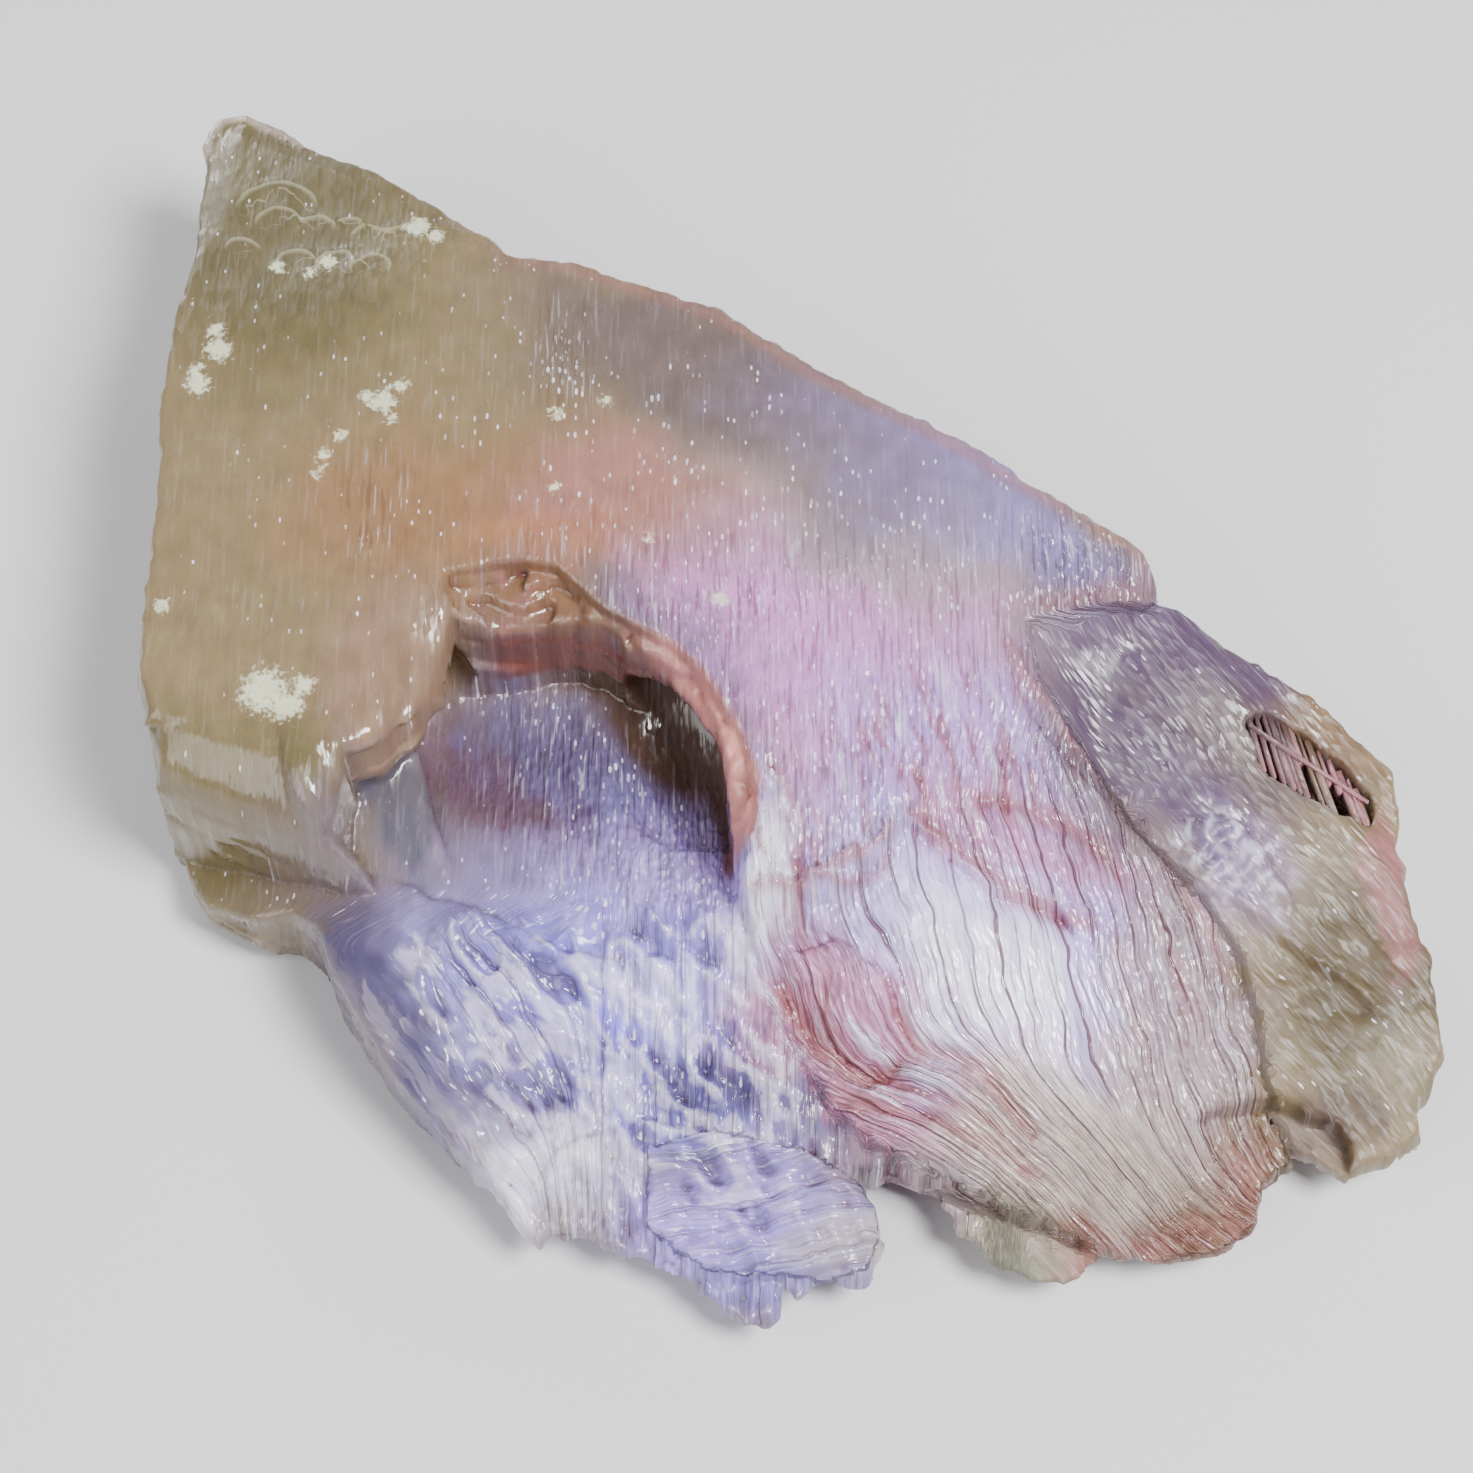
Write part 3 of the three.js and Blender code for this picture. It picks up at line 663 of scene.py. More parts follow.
def surface_net(field, origin):
    """(vertices, quads): one vertex in each cell that the surface passes through."""
    inside = field > 0
    nz, ny, nx = field.shape
    corners = [(dz, dy, dx) for dz in (0, 1) for dy in (0, 1) for dx in (0, 1)]

    def shifted(array, dz, dy, dx):
        return array[dz:nz - 1 + dz, dy:ny - 1 + dy, dx:nx - 1 + dx]

    count = sum(shifted(inside, *c).astype(np.int8) for c in corners)
    cz, cy, cx = np.nonzero((count > 0) & (count < 8))
    total = np.zeros((len(cz), 3))
    hits = np.zeros(len(cz))
    for a in corners:
        for axis in range(3):
            if a[axis]:
                continue
            b = tuple(1 if i == axis else a[i] for i in range(3))
            fa = field[cz + a[0], cy + a[1], cx + a[2]].astype(float)
            fb = field[cz + b[0], cy + b[1], cx + b[2]].astype(float)
            crossed = (fa > 0) != (fb > 0)
            t = np.where(crossed, fa / np.where(fa == fb, 1, fa - fb), 0)
            for i in range(3):
                place = a[i] + (t if i == axis else 0)
                total[:, i] += np.where(crossed, place, 0)
            hits += crossed
    local = total / hits[:, None]
    vertices = (np.stack([cx, cy, cz], 1) + local[:, ::-1]) * VOXEL + origin

    index = np.full((nz - 1, ny - 1, nx - 1), -1, np.int64)
    index[cz, cy, cx] = np.arange(len(cz))
    quads = []
    for axis in range(3):
        u, v = [i for i in range(3) if i != axis]
        here = [slice(1, n - 1) for n in field.shape]
        here[axis] = slice(0, field.shape[axis] - 1)
        there = list(here)
        there[axis] = slice(1, field.shape[axis])
        first, second = inside[tuple(here)], inside[tuple(there)]
        places = np.argwhere(first != second)
        starts = places + np.array([0 if i == axis else 1 for i in range(3)])
        ring = []
        for du, dv in ((1, 1), (0, 1), (0, 0), (1, 0)):
            cell = starts.copy()
            cell[:, u] -= du
            cell[:, v] -= dv
            ring.append(index[cell[:, 0], cell[:, 1], cell[:, 2]])
        ring = np.stack(ring, 1)
        leaves = first[tuple(places.T)]
        flip = leaves if axis != 1 else ~leaves
        ring[flip] = ring[flip][:, ::-1]
        quads.append(ring)
    return vertices, np.concatenate(quads)


def summed(index, values, count):
    """The values added up at each index, column by column."""
    return np.stack([np.bincount(index, column, count) for column in values.T], 1)


def neighbour_mean(values, quads):
    """Each vertex's mean over the vertices it shares an edge with."""
    total = np.zeros_like(values)
    count = np.zeros(len(values))
    for i in range(4):
        a, b = quads[:, i], quads[:, (i + 1) % 4]
        for p, q in ((a, b), (b, a)):
            total += summed(p, values[q], len(values))
            count += np.bincount(p, minlength=len(values))
    return total / np.maximum(count, 1)[:, None]


def vertex_normals(vertices, quads):
    across = vertices[quads[:, 2]] - vertices[quads[:, 0]]
    other = vertices[quads[:, 3]] - vertices[quads[:, 1]]
    faces = np.cross(across, other)
    total = sum(summed(quads[:, i], faces, len(vertices)) for i in range(4))
    return total / np.maximum(np.linalg.norm(total, axis=1), 1e-9)[:, None]


def standing_out(vertices, quads, steps):
    """How far each vertex stands out from the surface around it: negative in a crack."""
    around = vertices
    for _ in range(steps):
        around = neighbour_mean(around, quads)
    return ((vertices - around) * vertex_normals(vertices, quads)).sum(axis=1)


def largest_body(vertices, quads):
    """Leaves out crumbs that are not joined to the crystal."""
    label = np.arange(len(vertices))
    while True:
        lowest = label[quads].min(axis=1)
        fresh = label.copy()
        for i in range(4):
            np.minimum.at(fresh, quads[:, i], lowest)
        fresh = fresh[fresh]
        if (fresh == label).all():
            break
        label = fresh
    kept = label == np.bincount(label).argmax()
    number = np.cumsum(kept) - 1
    return vertices[kept], number[quads[kept[quads[:, 0]]]]


def strip(start, end, width, height, sink):
    """A straight fibre under the wing's face, as a box of 8 corners."""
    start, end = np.array(start, float), np.array(end, float)
    along = (end - start) / np.linalg.norm(end - start)
    sideways = np.array([along[1], -along[0]])
    corners = []
    for place in (start, end):
        for side in (-width / 2, width / 2):
            x, y = place + side * sideways
            top = float(wing_top(np.array([x]), np.array([y]))[0]) - sink
            corners += [(x, y, top - height), (x, y, top)]
    return corners


def fibre_bars():
    """The fibres left standing in the window: (vertices, quads)."""
    down = np.array([math.sin(BAR_LEAN), -math.cos(BAR_LEAN)])
    vertices = strip((35.2, -5.1), (44.2, -10.4), 0.25, 0.4, 0.3)
    for i in range(BAR_COUNT):
        t = (i + 0.3 * math.sin(7 * i)) / (BAR_COUNT - 1)
        middle = np.array([35.7 + 8.2 * t, -6.2 - 2.0 * t - 3.1 * t * t])
        half = 2.3 + 0.9 * math.sin(math.pi * t)
        width = BAR_WIDTH * (1 + 0.5 * math.sin(2.4 * i + 1))
        end = middle + (BROKEN_END if i in BROKEN_BARS else half) * down
        sink = 0.6 + 0.2 * math.sin(3.1 * i)
        vertices += strip(middle - half * down, end, width, BAR_HEIGHT, sink)
    faces = [(0, 1, 3, 2), (4, 6, 7, 5), (0, 4, 5, 1), (2, 3, 7, 6), (1, 5, 7, 3), (0, 2, 6, 4)]
    quads = [[8 * box + k for k in face] for box in range(len(vertices) // 8) for face in faces]
    return np.array(vertices), np.array(quads)


def keep_in_box(vertices):
    """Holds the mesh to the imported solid's heights, and to just outside it sideways."""
    slack = np.array([0.6, 0.9, 0])
    low, high = (np.array(corner) / MM for corner in cad_box)
    return np.clip(vertices, low - slack, high + slack)


def mesh_from(vertices, quads, name):
    mesh = bpy.data.meshes.new(name)
    mesh.vertices.add(len(vertices))
    mesh.vertices.foreach_set("co", (vertices * MM).ravel())
    mesh.loops.add(quads.size)
    mesh.loops.foreach_set("vertex_index", quads.ravel())
    mesh.polygons.add(len(quads))
    mesh.polygons.foreach_set("loop_start", np.arange(0, quads.size, 4))
    mesh.update(calc_edges=True)
    mesh.validate()
    return mesh


def add_object(name, data):
    thing = bpy.data.objects.new(name, data)
    bpy.context.collection.objects.link(thing)
    return thing


def add_number(mesh, name, values):
    layer = mesh.attributes.new(name, "FLOAT", "POINT")
    layer.data.foreach_set("value", values.astype(np.float32))


def crystal_mesh():
    vertices, quads = surface_net(*crystal_field())
    vertices, quads = largest_body(vertices, quads)
    vertices = keep_in_box(vertices + SMOOTHING * (neighbour_mean(vertices, quads) - vertices))
    plain = 1 - 0.95 * blob(vertices[:, 0], vertices[:, 1], *PLAIN_TIP)
    near = plain * standing_out(vertices, quads, 1)
    wide = plain * standing_out(vertices, quads, 6)
    bars, bar_quads = fibre_bars()
    quads = np.concatenate([quads, bar_quads + len(vertices)])
    vertices = np.concatenate([vertices, bars])
    still = np.zeros(len(bars))
    dense_mesh = mesh_from(vertices, quads, "dense")
    # edge and swell carry the painted highlight on edges and crests and the painted shade in creases and
    # hollows.
    add_number(dense_mesh, "edge", np.concatenate([np.clip(near / EDGE_HEIGHT, -1, 1), still]))
    add_number(dense_mesh, "swell", np.concatenate([np.clip(wide / SWELL_HEIGHT, -1, 1), still]))
    dense = add_object("dense", dense_mesh)
    decimate = dense.modifiers.new("decimate", "DECIMATE")
    decimate.ratio = min(1.0, MOST_TRIANGLES / (2 * len(quads)))
    graph = bpy.context.evaluated_depsgraph_get()
    mesh = bpy.data.meshes.new_from_object(dense.evaluated_get(graph))
    bpy.data.objects.remove(dense)
    mesh.name = "selenite"
    mesh.shade_smooth()
    return mesh


# ---- Colour ----


def tone(red, green, blue):
    """A colour given as it looks on a screen, 0 to 255, as the shader wants it."""
    return tuple(((c / 255 + 0.055) / 1.055) ** 2.4 for c in (red, green, blue))


OLIVE = tone(106, 97, 64)
HONEY = tone(138, 120, 88)
TAN = tone(148, 112, 80)
ROSE_TAN = tone(168, 118, 110)
GREY = tone(108, 94, 92)
GREY_LILAC = tone(140, 130, 200)
PINK = tone(214, 144, 212)
ORANGE = tone(190, 122, 88)
RUST = tone(118, 66, 46)
SHELF = tone(126, 92, 64)
ROSY_SHELF = tone(222, 148, 138)
KNOB = tone(146, 118, 96)
# DARK is also the painted shade under the hollow's rim and deep in the wing's window.
DARK = tone(76, 54, 38)
SMOKE = tone(82, 74, 110)
DUSK = tone(90, 70, 98)
# VIOLET, LILAC, WHITE and GREY_LILAC paint mostly light: a violet lamp's cast and its bright pool.
VIOLET = tone(134, 128, 242)
LILAC = tone(184, 162, 255)
WHITE = tone(236, 230, 255)
PEACH = tone(154, 102, 94)
ROSE = tone(206, 130, 160)
BROWN_ROSE = tone(164, 104, 108)
GREY_ROSE = tone(170, 150, 160)
FACET_GREY = tone(88, 86, 102)
FLOOR_GREY = tone(108, 97, 136)
CREAM = tone(204, 188, 178)
SAGE = tone(132, 134, 114)
BONE = tone(205, 196, 168)

# Patches laid over each other in this order: colour, strength, centre, radii and turn in degrees.
# The lilac, violet and white over the fan, the sill, the hollow's floor and the near wing are painted
# light, a violet lamp's bright pool, and the slab's far end is partly darker as its painted falloff.
# The peach on the fan's thin lip and the rose strip on the wing's side are partly painted glow of thin
# edges lit through.
PATCHES = [
    (GREY_ROSE, 0.95, (10, 5), (30, 11), -34),
    (TAN, 0.9, (-24, 10), (20, 13)),
    (OLIVE, 0.95, (-40, 38), (19, 24)),
    (GREY, 0.95, (-8, 24), (22, 12), -20),
    (GREY_LILAC, 0.75, (15, 11), (26, 8), -34),
    (GREY, 0.5, (5, 14), (15, 8), -34),
    (ROSE_TAN, 0.85, (-12, 11), (15, 8), -10),
    (ORANGE, 0.4, (-18, 7), (12, 4), -10),
    (PINK, 0.95, (-1, 0), (14, 12), -25),
    (PINK, 0.8, (8, -7), (15, 13), -25),
    (LILAC, 0.5, (12, -10), (16, 10), -20),
    (ROSE, 0.4, (0, -15), (8, 12)),
    (OLIVE, 0.6, (-42, -12), (14, 10)),
    (GREY, 0.4, (-35, -18), (11, 6), -30),
    (FLOOR_GREY, 1, (-16, -5), (18, 13)),
    (RUST, 0.42, (-22, -8), (4.5, 12), 42),
    (GREY_LILAC, 0.55, (-12, -9), (9, 7), -20),
    (GREY_LILAC, 0.6, (-23, -19), (14, 10), -20),
    (FACET_GREY, 0.9, (-29, -11), (5, 8), 10),
    (OLIVE, 0.6, (-34.5, -11.5), (3, 6)),
    (LILAC, 0.75, (-8, -19), (16, 14)),
    (GREY_LILAC, 0.95, (-16, -29), (22, 15), -35),
    (VIOLET, 0.9, (-10, -28), (18, 9), -35),
    (SMOKE, 1, (-29, -27), (7, 15), 35),
    (GREY_ROSE, 0.4, (-29, -33), (4, 12), 35),
    (WHITE, 0.45, (-11, -26), (9, 4), -30),
    (WHITE, 1, (-17.5, -38.5), (8, 6), -15),
    (SMOKE, 0.7, (-3, -32), (11, 5), -10),
    (GREY_LILAC, 0.9, (-2, -44), (18, 10)),
    (LILAC, 0.7, (-4, -41), (12, 5)),
    (BONE, 0.5, (5, -43), (6, 4)),
    (LILAC, 0.95, (15, -25), (21, 19), -30),
    (GREY_ROSE, 0.95, (29, -27), (8, 16), -8),
    (WHITE, 0.95, (14, -26), (13, 10), -40),
    (ROSE, 0.6, (18, -15), (13, 5), -22),
    (ROSE, 0.7, (3, -29), (9, 6), -25),
    (ROSE, 0.7, (9, -35), (15, 4), -20),
    # The sill's white is painted light, the brightest spot in the lamp's pool.
    (WHITE, 1, (-1.5, -20), (4, 8)),
    (CREAM, 0.9, (21, -37), (17, 8), 10),
    (PEACH, 0.9, (25, -43.5), (16, 4), 10),
    (PEACH, 0.7, (34, -38), (5, 7)),
    (DUSK, 1, (28, -5), (17, 12), -38),
    (GREY, 0.85, (37, -6), (11, 6), -38),
    (LILAC, 0.25, (33.5, -15.5), (8, 5), -45),
    (OLIVE, 0.85, (43, -25), (11, 15)),
    (DARK, 0.5, (43, -24), (10, 15)),
    (BROWN_ROSE, 0.8, (45.9, -17.5), (2.2, 8)),
    (SHELF, 0.55, (40, -5), (10, 4.5), -38),
    (DUSK, 0.9, (33, 1), (10, 5), -38),
    (DARK, 0.9, (40, -35.5), (6, 4), -30),
    (BONE, 0.15, (46, -31), (5, 6)),
    (SAGE, 0.95, (16.5, -45.5), (8, 4), -10),
]

# Where each marking is stronger or weaker: strength, centre, radii and turn in degrees.
BUSY = [
    (0.5, (-6, -15), (17, 15)), (0.9, (-14, -28), (19, 12), -30), (0.6, (8, -9), (15, 9)),
    (0.3, (-15, -3), (12, 9)), (0.4, (33.5, -15.5), (7, 5), -45), (-0.2, (18, -28), (15, 12)),
    (0.4, (-4, 12), (34, 14), -25), (0.3, (24, -1), (8, 7)),
]
COARSE = [
    (0.2, (-14, 4), (16, 12)), (0.5, (-15, -9), (13, 10)), (0.5, (-31, 10), (4, 8)),
    (0.4, (-17, 25), (4, 9)), (0.5, (24, 6.5), (10, 6), -28), (-0.4, (18, -26), (14, 11), -35),
]
CLEAR = [
    (0.1, (28, -5), (12, 9), -38), (0.1, (42, -26), (9, 14)), (0.15, (-40, 34), (14, 18)),
    (-0.2, (16, -26), (16, 14)), (0.15, (-18, -8), (13, 11)), (-0.15, (-9, -27), (12, 6)),
]

PLAIN_TIP = ((-38, 39), (22, 19))     # where edges and swells hardly show: centre and radii

# Chalky flakes on the slab: centre and radius.
FLAKES = [
    ((-31, 20.2), 1.5), ((-29.6, 21.8), 0.9), ((-30.3, 18.6), 0.8), ((-32.4, 20.8), 0.8),
    ((-34, 17), 0.8), ((-35.3, 15.2), 0.9), ((-35.6, 13.4), 0.7), ((-44.3, 26.6), 1.0),
    ((-44, 24.8), 1.4), ((-45.4, 21.6), 1.3), ((-45.6, 23), 0.8), ((-38.5, -5.4), 2.3),
    ((-36.7, -6.6), 1.7), ((-35.4, -5), 1.1), ((-17.5, 19), 0.9), ((-13.7, 20.4), 0.8),
    ((-17.4, 12.2), 0.7), ((-10.2, 7.8), 0.7), ((-46.6, 2), 1.0), ((-4.7, 2.6), 1.0),
    ((-29, 37), 1.4), ((-27.5, 36), 1.0), ((-36, 33.6), 1.0), ((-40, 33.2), 0.9), ((-37.5, 32.6), 0.8),
]


def toned(colour, share, tint):
    """The colours with a share of another laid over each."""
    return colour + np.clip(share, 0, 1)[:, None] * (np.array(tint) - colour)


def hollow_shade(x, y, z):
    """(share of rim, of wall and of undercut): each 0 to 1 inside the dissolved hollow. The undercut's
    share is painted shade: the dark under the rim, and the crescent of the rim's shadow on the floor.
    """
    near = np.clip(2.4 * blob(x, y, (-15, -4), (25, 25)), 0, 1) * ease(y, -19, -16)
    behind = ease(depth_in(RIM_SHELF, x, y), -1.2, -0.4)
    # corner: a painted shadow, the dark crescent that the rim casts on the hollow's floor.
    corner = blob(x, y, (-9.5, -3.2), (9.5, 4.2), -46)
    off_slab = 1 - ease(depth_in(MAIN, x, y), -0.3, 0.5)
    above = ease(z, RIM_FROM, RIM_FROM + 1.2)
    under = near * np.maximum(behind * ease(x, -20, -14), 1.3 * corner) * (1 - ease(z, 11, 12))
    beside_lobe = near * (1 - ease(-x, 21, 24))
    wall = beside_lobe * behind * ease(z, 10.2, 11.0) * (1 - above)
    return beside_lobe * off_slab * above, wall, np.clip(under, 0, 1)


def painted(x, y, z, across):
    """Each vertex's colour: the patches, with the folds, broken edges and the hollow laid over them, and
    painted light and shade: the undercut's shade, the window's dark depth, highlights on the near wing's
    crests and shade in its gaps.
    """
    on_slab = ease(depth_in(MAIN, x, y), -0.5, 0.5)
    clean = on_slab * ease(y + 0.3 * x, -12, -2)
    streak = rough(across / 0.8, y / 4.5, 331) * (1 - 0.75 * clean)
    mottle = rough(x / 1.5, y / 1.9, 335)
    wander_x = x + 2.8 * rough(x, y, 301, 10) + 1.0 * mottle
    wander_y = y + 2.8 * rough(x, y, 305, 10) + 1.2 * streak
    colour = np.tile(np.array(HONEY), (len(x), 1))
    for tint, *patch in PATCHES:
        colour = toned(colour, blobs(wander_x, wander_y, [patch]) * (1 + 0.25 * streak), tint)

    top = np.where(on_slab > 0.3, slab_body(x, y)[0], wing_top(x, y))
    below = ease(top - z, 1.5, 4.0) * ease(x + 1.2 * y, -20, 0)
    far_edge = (1 - ease(depth_in(MAIN, x, y), 0.5, 2.2)) * ease(y + 0.55 * x, 9, 15) * ease(x, -26, -18)
    loose, fibres = on_slab * bundled(x, y), bundles(x, y)
    inner = ease(depth_in(APRON, x, y), 2, 6) * (1 - ease(y, -24, -19)) * (1 - ease(x, 6, 10))
    milk = 0.8 * blob(x, y, (33.5, -15.5), (9, 6), -45) * crags(x / 1.6, y / 1.6, 68)
    # leaves: painted highlight on the near wing's crests and painted shade in its gaps, with the milky
    # patch's own white.
    leaves = (1 - on_slab) * (inner * (leaf_crags(x, y) + 0.6 * streak) + milk)
    rim, wall, under = hollow_shade(x, y, z)
    rusty = ease(-x, 16, 20) * ease(rough(x, y, 341, 1.5), -0.1, 0.2)
    # pane and sunk: pink bars in the window, and its depth painted dark as shade.
    pane = ease(depth_in(WINDOW, x, y), 0.1, 0.5)
    sunk = ease(wing_top(x, y) - z, 1.8, 2.4)
    # In these layers the leaves' WHITE and SMOKE, the undercut's DARK and the window's sunk DARK are
    # painted light and shade.
    layers = [
        (0.6 * below, CREAM),
        (0.5 * on_slab * far_edge, ROSE_TAN),
        (0.75 * loose * ease(-fibres, 0.1, 0.6), BROWN_ROSE),
        (0.8 * loose * ease(fibres, 0.3, 0.8), WHITE),
        (on_slab * fold_relief(x, y)[1], BROWN_ROSE),
        (0.5 * ease(leaves, 0.35, 0.7), WHITE),
        (0.65 * ease(-leaves, 0.15, 0.7), SMOKE),
        (1.4 * blob(x, y, (-28, -4), (9, 12)) * ease(z, 13.5, 15), KNOB),
        (0.85 * rim, SHELF),
        (0.9 * rim * ease(x, -13, -6), ROSY_SHELF),
        (0.3 * rim * rusty, BROWN_ROSE),
        (0.9 * wall, RUST),
        (0.95 * under, DARK),
        (0.7 * pane * (1 - sunk), ROSE),
        (pane * sunk, DARK),
    ]
    for share, tint in layers:
        colour = toned(colour, share, tint)
    return colour * np.clip(1 + 0.13 * mottle + 0.12 * streak, 0.5, 1.5)[:, None]


def flake_field(x, y, z):
    """1 at the middle of each chalky flake, 0 at its rim, negative outside."""
    field = np.full(len(x), -1.0)
    for centre, radius in FLAKES:
        field = np.maximum(field, 1 - np.hypot(x - centre[0], y - centre[1]) / radius)
    return np.where(z > 17, field, -1.0)


def paint(mesh):
    """Puts on the mesh what the shader reads: tint, place along the grain and each marking."""
    places = np.empty(3 * len(mesh.vertices), np.float32)
    mesh.vertices.foreach_get("co", places)
    x, y, z = places.reshape(-1, 3).astype(float).T / MM
    on_main = ease(depth_in(MAIN, x, y), -0.8, 0.0)
    on_wing = (1 - on_main) * ease(x, 14, 18)
    near_wing = (1 - on_main) * (1 - on_wing) * (1 - ease(y, -23, -17))
    fluted = on_main * ease(down_fan(x, y)[0], -1, 9)
    across = x * (1 - fluted - on_wing - near_wing) + fluted * across_fan(x, y)
    across = across + on_wing * across_right_wing(x, y) + near_wing * across_near_wing(x, y)
    rgba = np.ones((len(x), 4))
    rgba[:, :3] = np.clip(painted(x, y, z, across), 0, 1)
    tint = mesh.color_attributes.new("tint", "FLOAT_COLOR", "POINT")
    tint.data.foreach_set("color", rgba.astype(np.float32).ravel())
    grain = mesh.attributes.new("grain", "FLOAT_VECTOR", "POINT")
    grain.data.foreach_set("vector", np.stack([across, y, z], 1).astype(np.float32).ravel())

    phase = np.where(on_main > 0.5, flute_phase(x, y), across_near_wing(x, y) / 1.9)
    cracked = np.clip(fluted + 0.4 * near_wing * ease(x + 0.35 * y, -37, -31), 0, 1)
    outside, drawn = arch_place(x, y)
    hollow = 1 - 0.85 * np.max(hollow_shade(x, y, z), axis=0)
    busy = (0.26 + blobs(x, y, BUSY)) * (0.7 + 0.7 * rough(x / 3, y / 4, 361))
    lower_slab = ease(x, -26, -4) * (1 - ease(y, 2, 14)) * (1 - 0.75 * on_wing) * (1 - 0.5 * near_wing)
    coarse = 0.12 + 0.7 * lower_slab + blobs(x, y, COARSE)
    satin = on_wing * (0.4 + 0.6 * ease(-y, 12, 19)) + 0.7 * blob(x, y, (-39, 38), (17, 18)) * on_main
    markings = {
        "phase": phase + 0.06 * rough(x / 1.6, y / 2.4, 351),
        "cracks": cracked * ease(noise(phase / 1.1, y / 11, 353), -0.35, 0.15),
        "hairs": cracked * ease(noise(phase / 0.5, y / 6, 354), -0.1, 0.3),
        "arch": outside,
        "arched": drawn * on_main,
        # Pale cleavage flecks and painted glints, fewer in the hollow's painted shade.
        "dashes": np.clip(busy * hollow, 0, 1),
        "coarse": np.clip(coarse * hollow, 0.08, 1),
        "chalk": flake_field(x, y, z),
        "clear": np.clip(0.25 + blobs(x, y, CLEAR), 0, 1),
        "satin": np.clip(satin, 0, 1),
    }
    for name, values in markings.items():
        add_number(mesh, name, values)


# ---- Material ----


class Nodes:
    """Short names for the nodes that this script makes."""

    def __init__(self, material):
        material.use_nodes = True
        self.tree = material.node_tree
        self.tree.nodes.clear()

    def add(self, kind, inputs, **settings):
        """A node with its settings, and with each input set to a number or colour, or linked."""
        node = self.tree.nodes.new(kind)
        for name, value in settings.items():
            setattr(node, name, value)
        for name, value in inputs.items():
            socket = node.inputs[name]
            if isinstance(value, (int, float)):
                socket.default_value = value
            elif isinstance(value, tuple):
                socket.default_value = (*value, 1.0)[:len(socket.default_value)]
            else:
                self.tree.links.new(value, socket)
        return node

    def attribute(self, name, output="Fac"):
        return self.add("ShaderNodeAttribute", {}, attribute_name=name).outputs[output]

    def math(self, operation, a, b=0.0, c=0.0):
        return self.add("ShaderNodeMath", {0: a, 1: b, 2: c}, operation=operation).outputs[0]

    def times(self, a, b):
        return self.math("MULTIPLY", a, b)

    def times_plus(self, a, b, c):
        return self.math("MULTIPLY_ADD", a, b, c)

    def ramp(self, value, low, high, to_low=0.0, to_high=1.0):
        inputs = {"Value": value, "From Min": low, "From Max": high, "To Min": to_low, "To Max": to_high}
        return self.add("ShaderNodeMapRange", inputs, interpolation_type="SMOOTHSTEP").outputs["Result"]

    def mix(self, factor, a, b, blend="MIX"):
        inputs = {"Factor": factor, 6: a, 7: b}
        return self.add("ShaderNodeMix", inputs, data_type="RGBA", blend_type=blend).outputs[2]

    def scaled(self, place, scale):
        return self.add("ShaderNodeMapping", {"Scale": scale, "Vector": place}).outputs[0]

    def noise(self, place, dimensions, detail, roughness=0.55):
        inputs = {"Vector": place, "Scale": 1.0, "Detail": detail, "Roughness": roughness}
        return self.add("ShaderNodeTexNoise", inputs, noise_dimensions=dimensions).outputs["Fac"]

    def cells(self, place):
        """A scattered lattice of cells: (distance from the nearest one's middle, two random numbers)."""
        inputs = {"Vector": place, "Scale": 1.0}
        cells = self.add("ShaderNodeTexVoronoi", inputs, distance="EUCLIDEAN", voronoi_dimensions="2D")
        chance = self.add("ShaderNodeSeparateColor", {0: cells.outputs["Color"]})
        return cells.outputs["Distance"], chance.outputs[0], chance.outputs[1]


def crack_lines(n):
    """Thin dark lines where the flute phase passes a whole number, and finer hairs between, 0 to 1."""

    def lines(phase, width):
        return n.ramp(n.math("PINGPONG", phase, 0.5), width, 0.25 * width)

    phase = n.attribute("phase")
    wide = n.times(lines(phase, 0.07), n.attribute("cracks"))
    hairs = n.times(lines(n.times(phase, 2.6), 0.1), n.attribute("hairs"))
    return n.math("MAXIMUM", wide, n.times(hairs, 0.6))


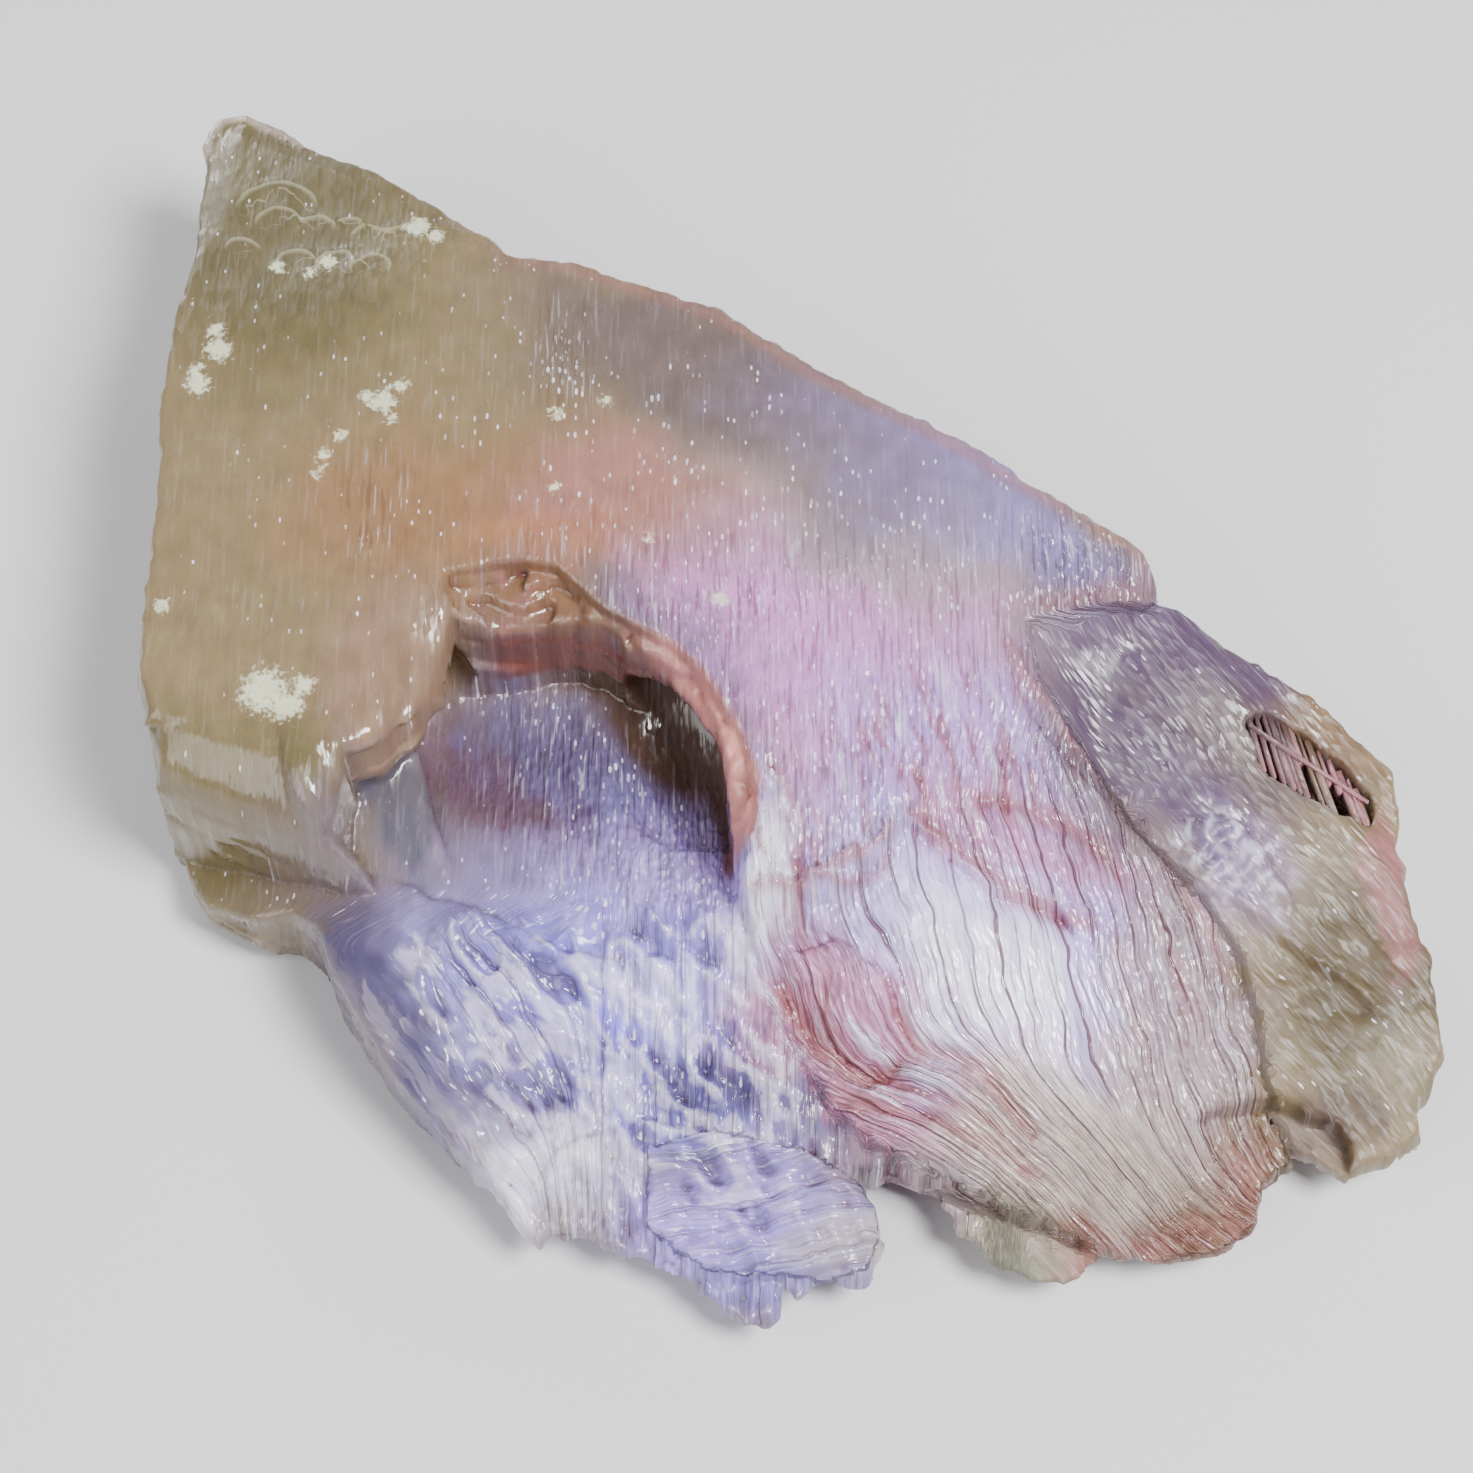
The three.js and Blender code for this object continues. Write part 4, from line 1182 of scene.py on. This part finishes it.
def selenite_material():
    material = bpy.data.materials.new("selenite")
    n = Nodes(material)
    grain = n.attribute("grain", "Vector")
    place = n.add("ShaderNodeTexCoord", {}).outputs["Object"]
    edge, swell = n.attribute("edge"), n.attribute("swell")
    coarse, busy = n.attribute("coarse"), n.attribute("dashes")
    fine = n.noise(n.scaled(grain, (3.4, 0.22, 1.6)), "2D", 1)
    grit = n.noise(n.scaled(place, (2.8 / MM, 2.4 / MM, 2.8 / MM)), "3D", 1, 0.7)
    facets, chance, other = n.cells(n.scaled(grain, (2.2, 0.85, 1.2)))

    # Flecks and glints: bright cells, partly pale cleavage flecks and partly painted glints.
    excess = n.math("SUBTRACT", n.times_plus(busy, 0.6, chance), 1.0)
    reach = n.math("MINIMUM", n.times(excess, 4.0), n.times_plus(excess, 0.4, 0.29))
    reach = n.times_plus(grit, -0.3, reach)
    dashes = n.ramp(n.math("SUBTRACT", reach, facets), 0.0, 0.04)
    dashes = n.times(dashes, n.times_plus(other, 0.75, 0.2))
    chalk = n.ramp(n.times_plus(grit, 1.3, n.attribute("chalk")), 0.72, 1.25)
    arch = n.attribute("arch")
    scale = n.times(n.ramp(arch, -0.45, -0.05), n.ramp(arch, 0.08, -0.02))
    scale = n.times(scale, n.attribute("arched"))
    scratches = n.times(n.ramp(fine, 0.66, 0.71), n.times(coarse, 0.45))
    cracks = crack_lines(n)

    colour = n.attribute("tint", "Color")
    streaks = n.times(n.ramp(fine, 0.4, 0.35, 0.0, 0.6), coarse)
    colour = n.mix(streaks, colour, tone(160, 130, 140), "MULTIPLY")
    # Painted shade in creases and hollows, and painted highlight on edges and crests.
    hollows = n.math("ADD", n.ramp(edge, -0.1, -0.8, 0.0, 0.45), n.ramp(swell, -0.05, -0.6, 0.0, 0.5))
    colour = n.mix(hollows, colour, tone(146, 88, 88), "MULTIPLY")
    painted_edge_light = n.math("ADD", n.ramp(edge, 0.2, 0.8, 0.0, 0.35), n.ramp(swell, 0.2, 0.9, 0.0, 0.2))
    colour = n.mix(painted_edge_light, colour, tone(222, 208, 204))
    colour = n.mix(n.times(scale, 0.45), colour, tone(200, 200, 164))
    colour = n.mix(n.math("MAXIMUM", dashes, scratches), colour, tone(236, 230, 250))
    colour = n.mix(n.times(cracks, 0.9), colour, tone(106, 66, 76))
    colour = n.mix(n.times(chalk, 0.8), colour, tone(208, 210, 182))

    milk = n.math("MAXIMUM", chalk, n.times(dashes, 0.6))
    see_through = n.times(n.attribute("clear"), n.math("SUBTRACT", 1.0, milk))
    roughness = n.times_plus(milk, 0.25, n.ramp(other, 0.0, 1.0, 0.08, 0.3))
    roughness = n.times_plus(n.attribute("satin"), 0.35, roughness)
    rough_height = n.times(n.times_plus(fine, 0.14, n.times(facets, 0.26)), coarse)
    height = n.times_plus(cracks, -0.25, rough_height)
    bump = n.add("ShaderNodeBump", {"Distance": MM, "Height": height})
    shader = n.add("ShaderNodeBsdfPrincipled", {
        "Base Color": colour,
        "Roughness": roughness,
        "Normal": bump.outputs[0],
        "IOR": 1.53,
        "Transmission Weight": see_through,
        "Subsurface Weight": 0.1,
        "Subsurface Radius": (1.0, 0.72, 0.65),
        "Subsurface Scale": 1.2 * MM,
    }, subsurface_method="BURLEY")
    body = n.add("ShaderNodeVolumeAbsorption", {"Color": (0.93, 0.87, 0.86), "Density": 60})
    n.add("ShaderNodeOutputMaterial", {"Surface": shader.outputs[0], "Volume": body.outputs[0]})
    return material


# ---- The scene ----

TARGET = (-3.5, -3.8, 10.0)       # what the camera looks at, in millimetres
CAMERA_DISTANCE = 250
CAMERA_ELEVATION = math.radians(62)
LENS, SENSOR = 79.43, 36.0
NEAR_CLIP, FAR_CLIP = 0.01, 20    # in metres, as are the lengths below
FLOOR_HALF = 3.0
FLOOR_GAP = 0.0002
FLOOR_COLOUR = (0.62, 0.61, 0.63)
SKY_COLOUR, SKY_STRENGTH = (0.95, 0.96, 1.0, 1), 0.28
SOFTBOXES = [                     # name, place, size and watts
    ("key", (0.20, -0.12, 0.42), 0.16, 4.8),
    ("fill", (-0.34, -0.24, 0.34), 0.40, 2.2),
    ("rim", (-0.24, 0.46, 0.17), 0.20, 1.8),
]


def add_crystal():
    mesh = crystal_mesh()
    paint(mesh)
    mesh.materials.append(selenite_material())
    crystal = add_object("selenite", mesh)
    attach(crystal, "root")
    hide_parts(NODE)


def add_floor():
    mesh = bpy.data.meshes.new("floor")
    corners = [(FLOOR_HALF * i, FLOOR_HALF * j, 0) for i, j in ((-1, -1), (1, -1), (1, 1), (-1, 1))]
    mesh.from_pydata(corners, [], [(0, 1, 2, 3)])
    material = bpy.data.materials.new("floor")
    n = Nodes(material)
    shader = n.add("ShaderNodeBsdfPrincipled", {"Base Color": FLOOR_COLOUR, "Roughness": 0.7})
    n.add("ShaderNodeOutputMaterial", {"Surface": shader.outputs[0]})
    mesh.materials.append(material)
    floor = add_object("floor", mesh)
    floor.location.z = -FLOOR_GAP


def aim(thing, place):
    """Puts a lamp or the camera at a place and turns it towards the crystal."""
    thing.location = place
    thing.rotation_euler = (Vector(TARGET) * MM - Vector(place)).to_track_quat("-Z", "Y").to_euler()


def add_lights():
    for name, place, size, watts in SOFTBOXES:
        light = bpy.data.lights.new(name, "AREA")
        light.size, light.energy = size, watts
        aim(add_object(name, light), place)
    world = bpy.data.worlds.new("studio")
    world.use_nodes = True
    background = world.node_tree.nodes["Background"]
    background.inputs["Color"].default_value = SKY_COLOUR
    background.inputs["Strength"].default_value = SKY_STRENGTH
    bpy.context.scene.world = world


def add_camera():
    lens = bpy.data.cameras.new("camera")
    lens.lens = LENS
    lens.sensor_width = SENSOR
    lens.clip_start, lens.clip_end = NEAR_CLIP, FAR_CLIP
    camera = add_object("camera", lens)
    back = Vector((0, -math.cos(CAMERA_ELEVATION), math.sin(CAMERA_ELEVATION)))
    aim(camera, (Vector(TARGET) + CAMERA_DISTANCE * back) * MM)
    bpy.context.scene.camera = camera


add_camera()
add_crystal()
add_floor()
add_lights()

bpy.context.view_layer.update()
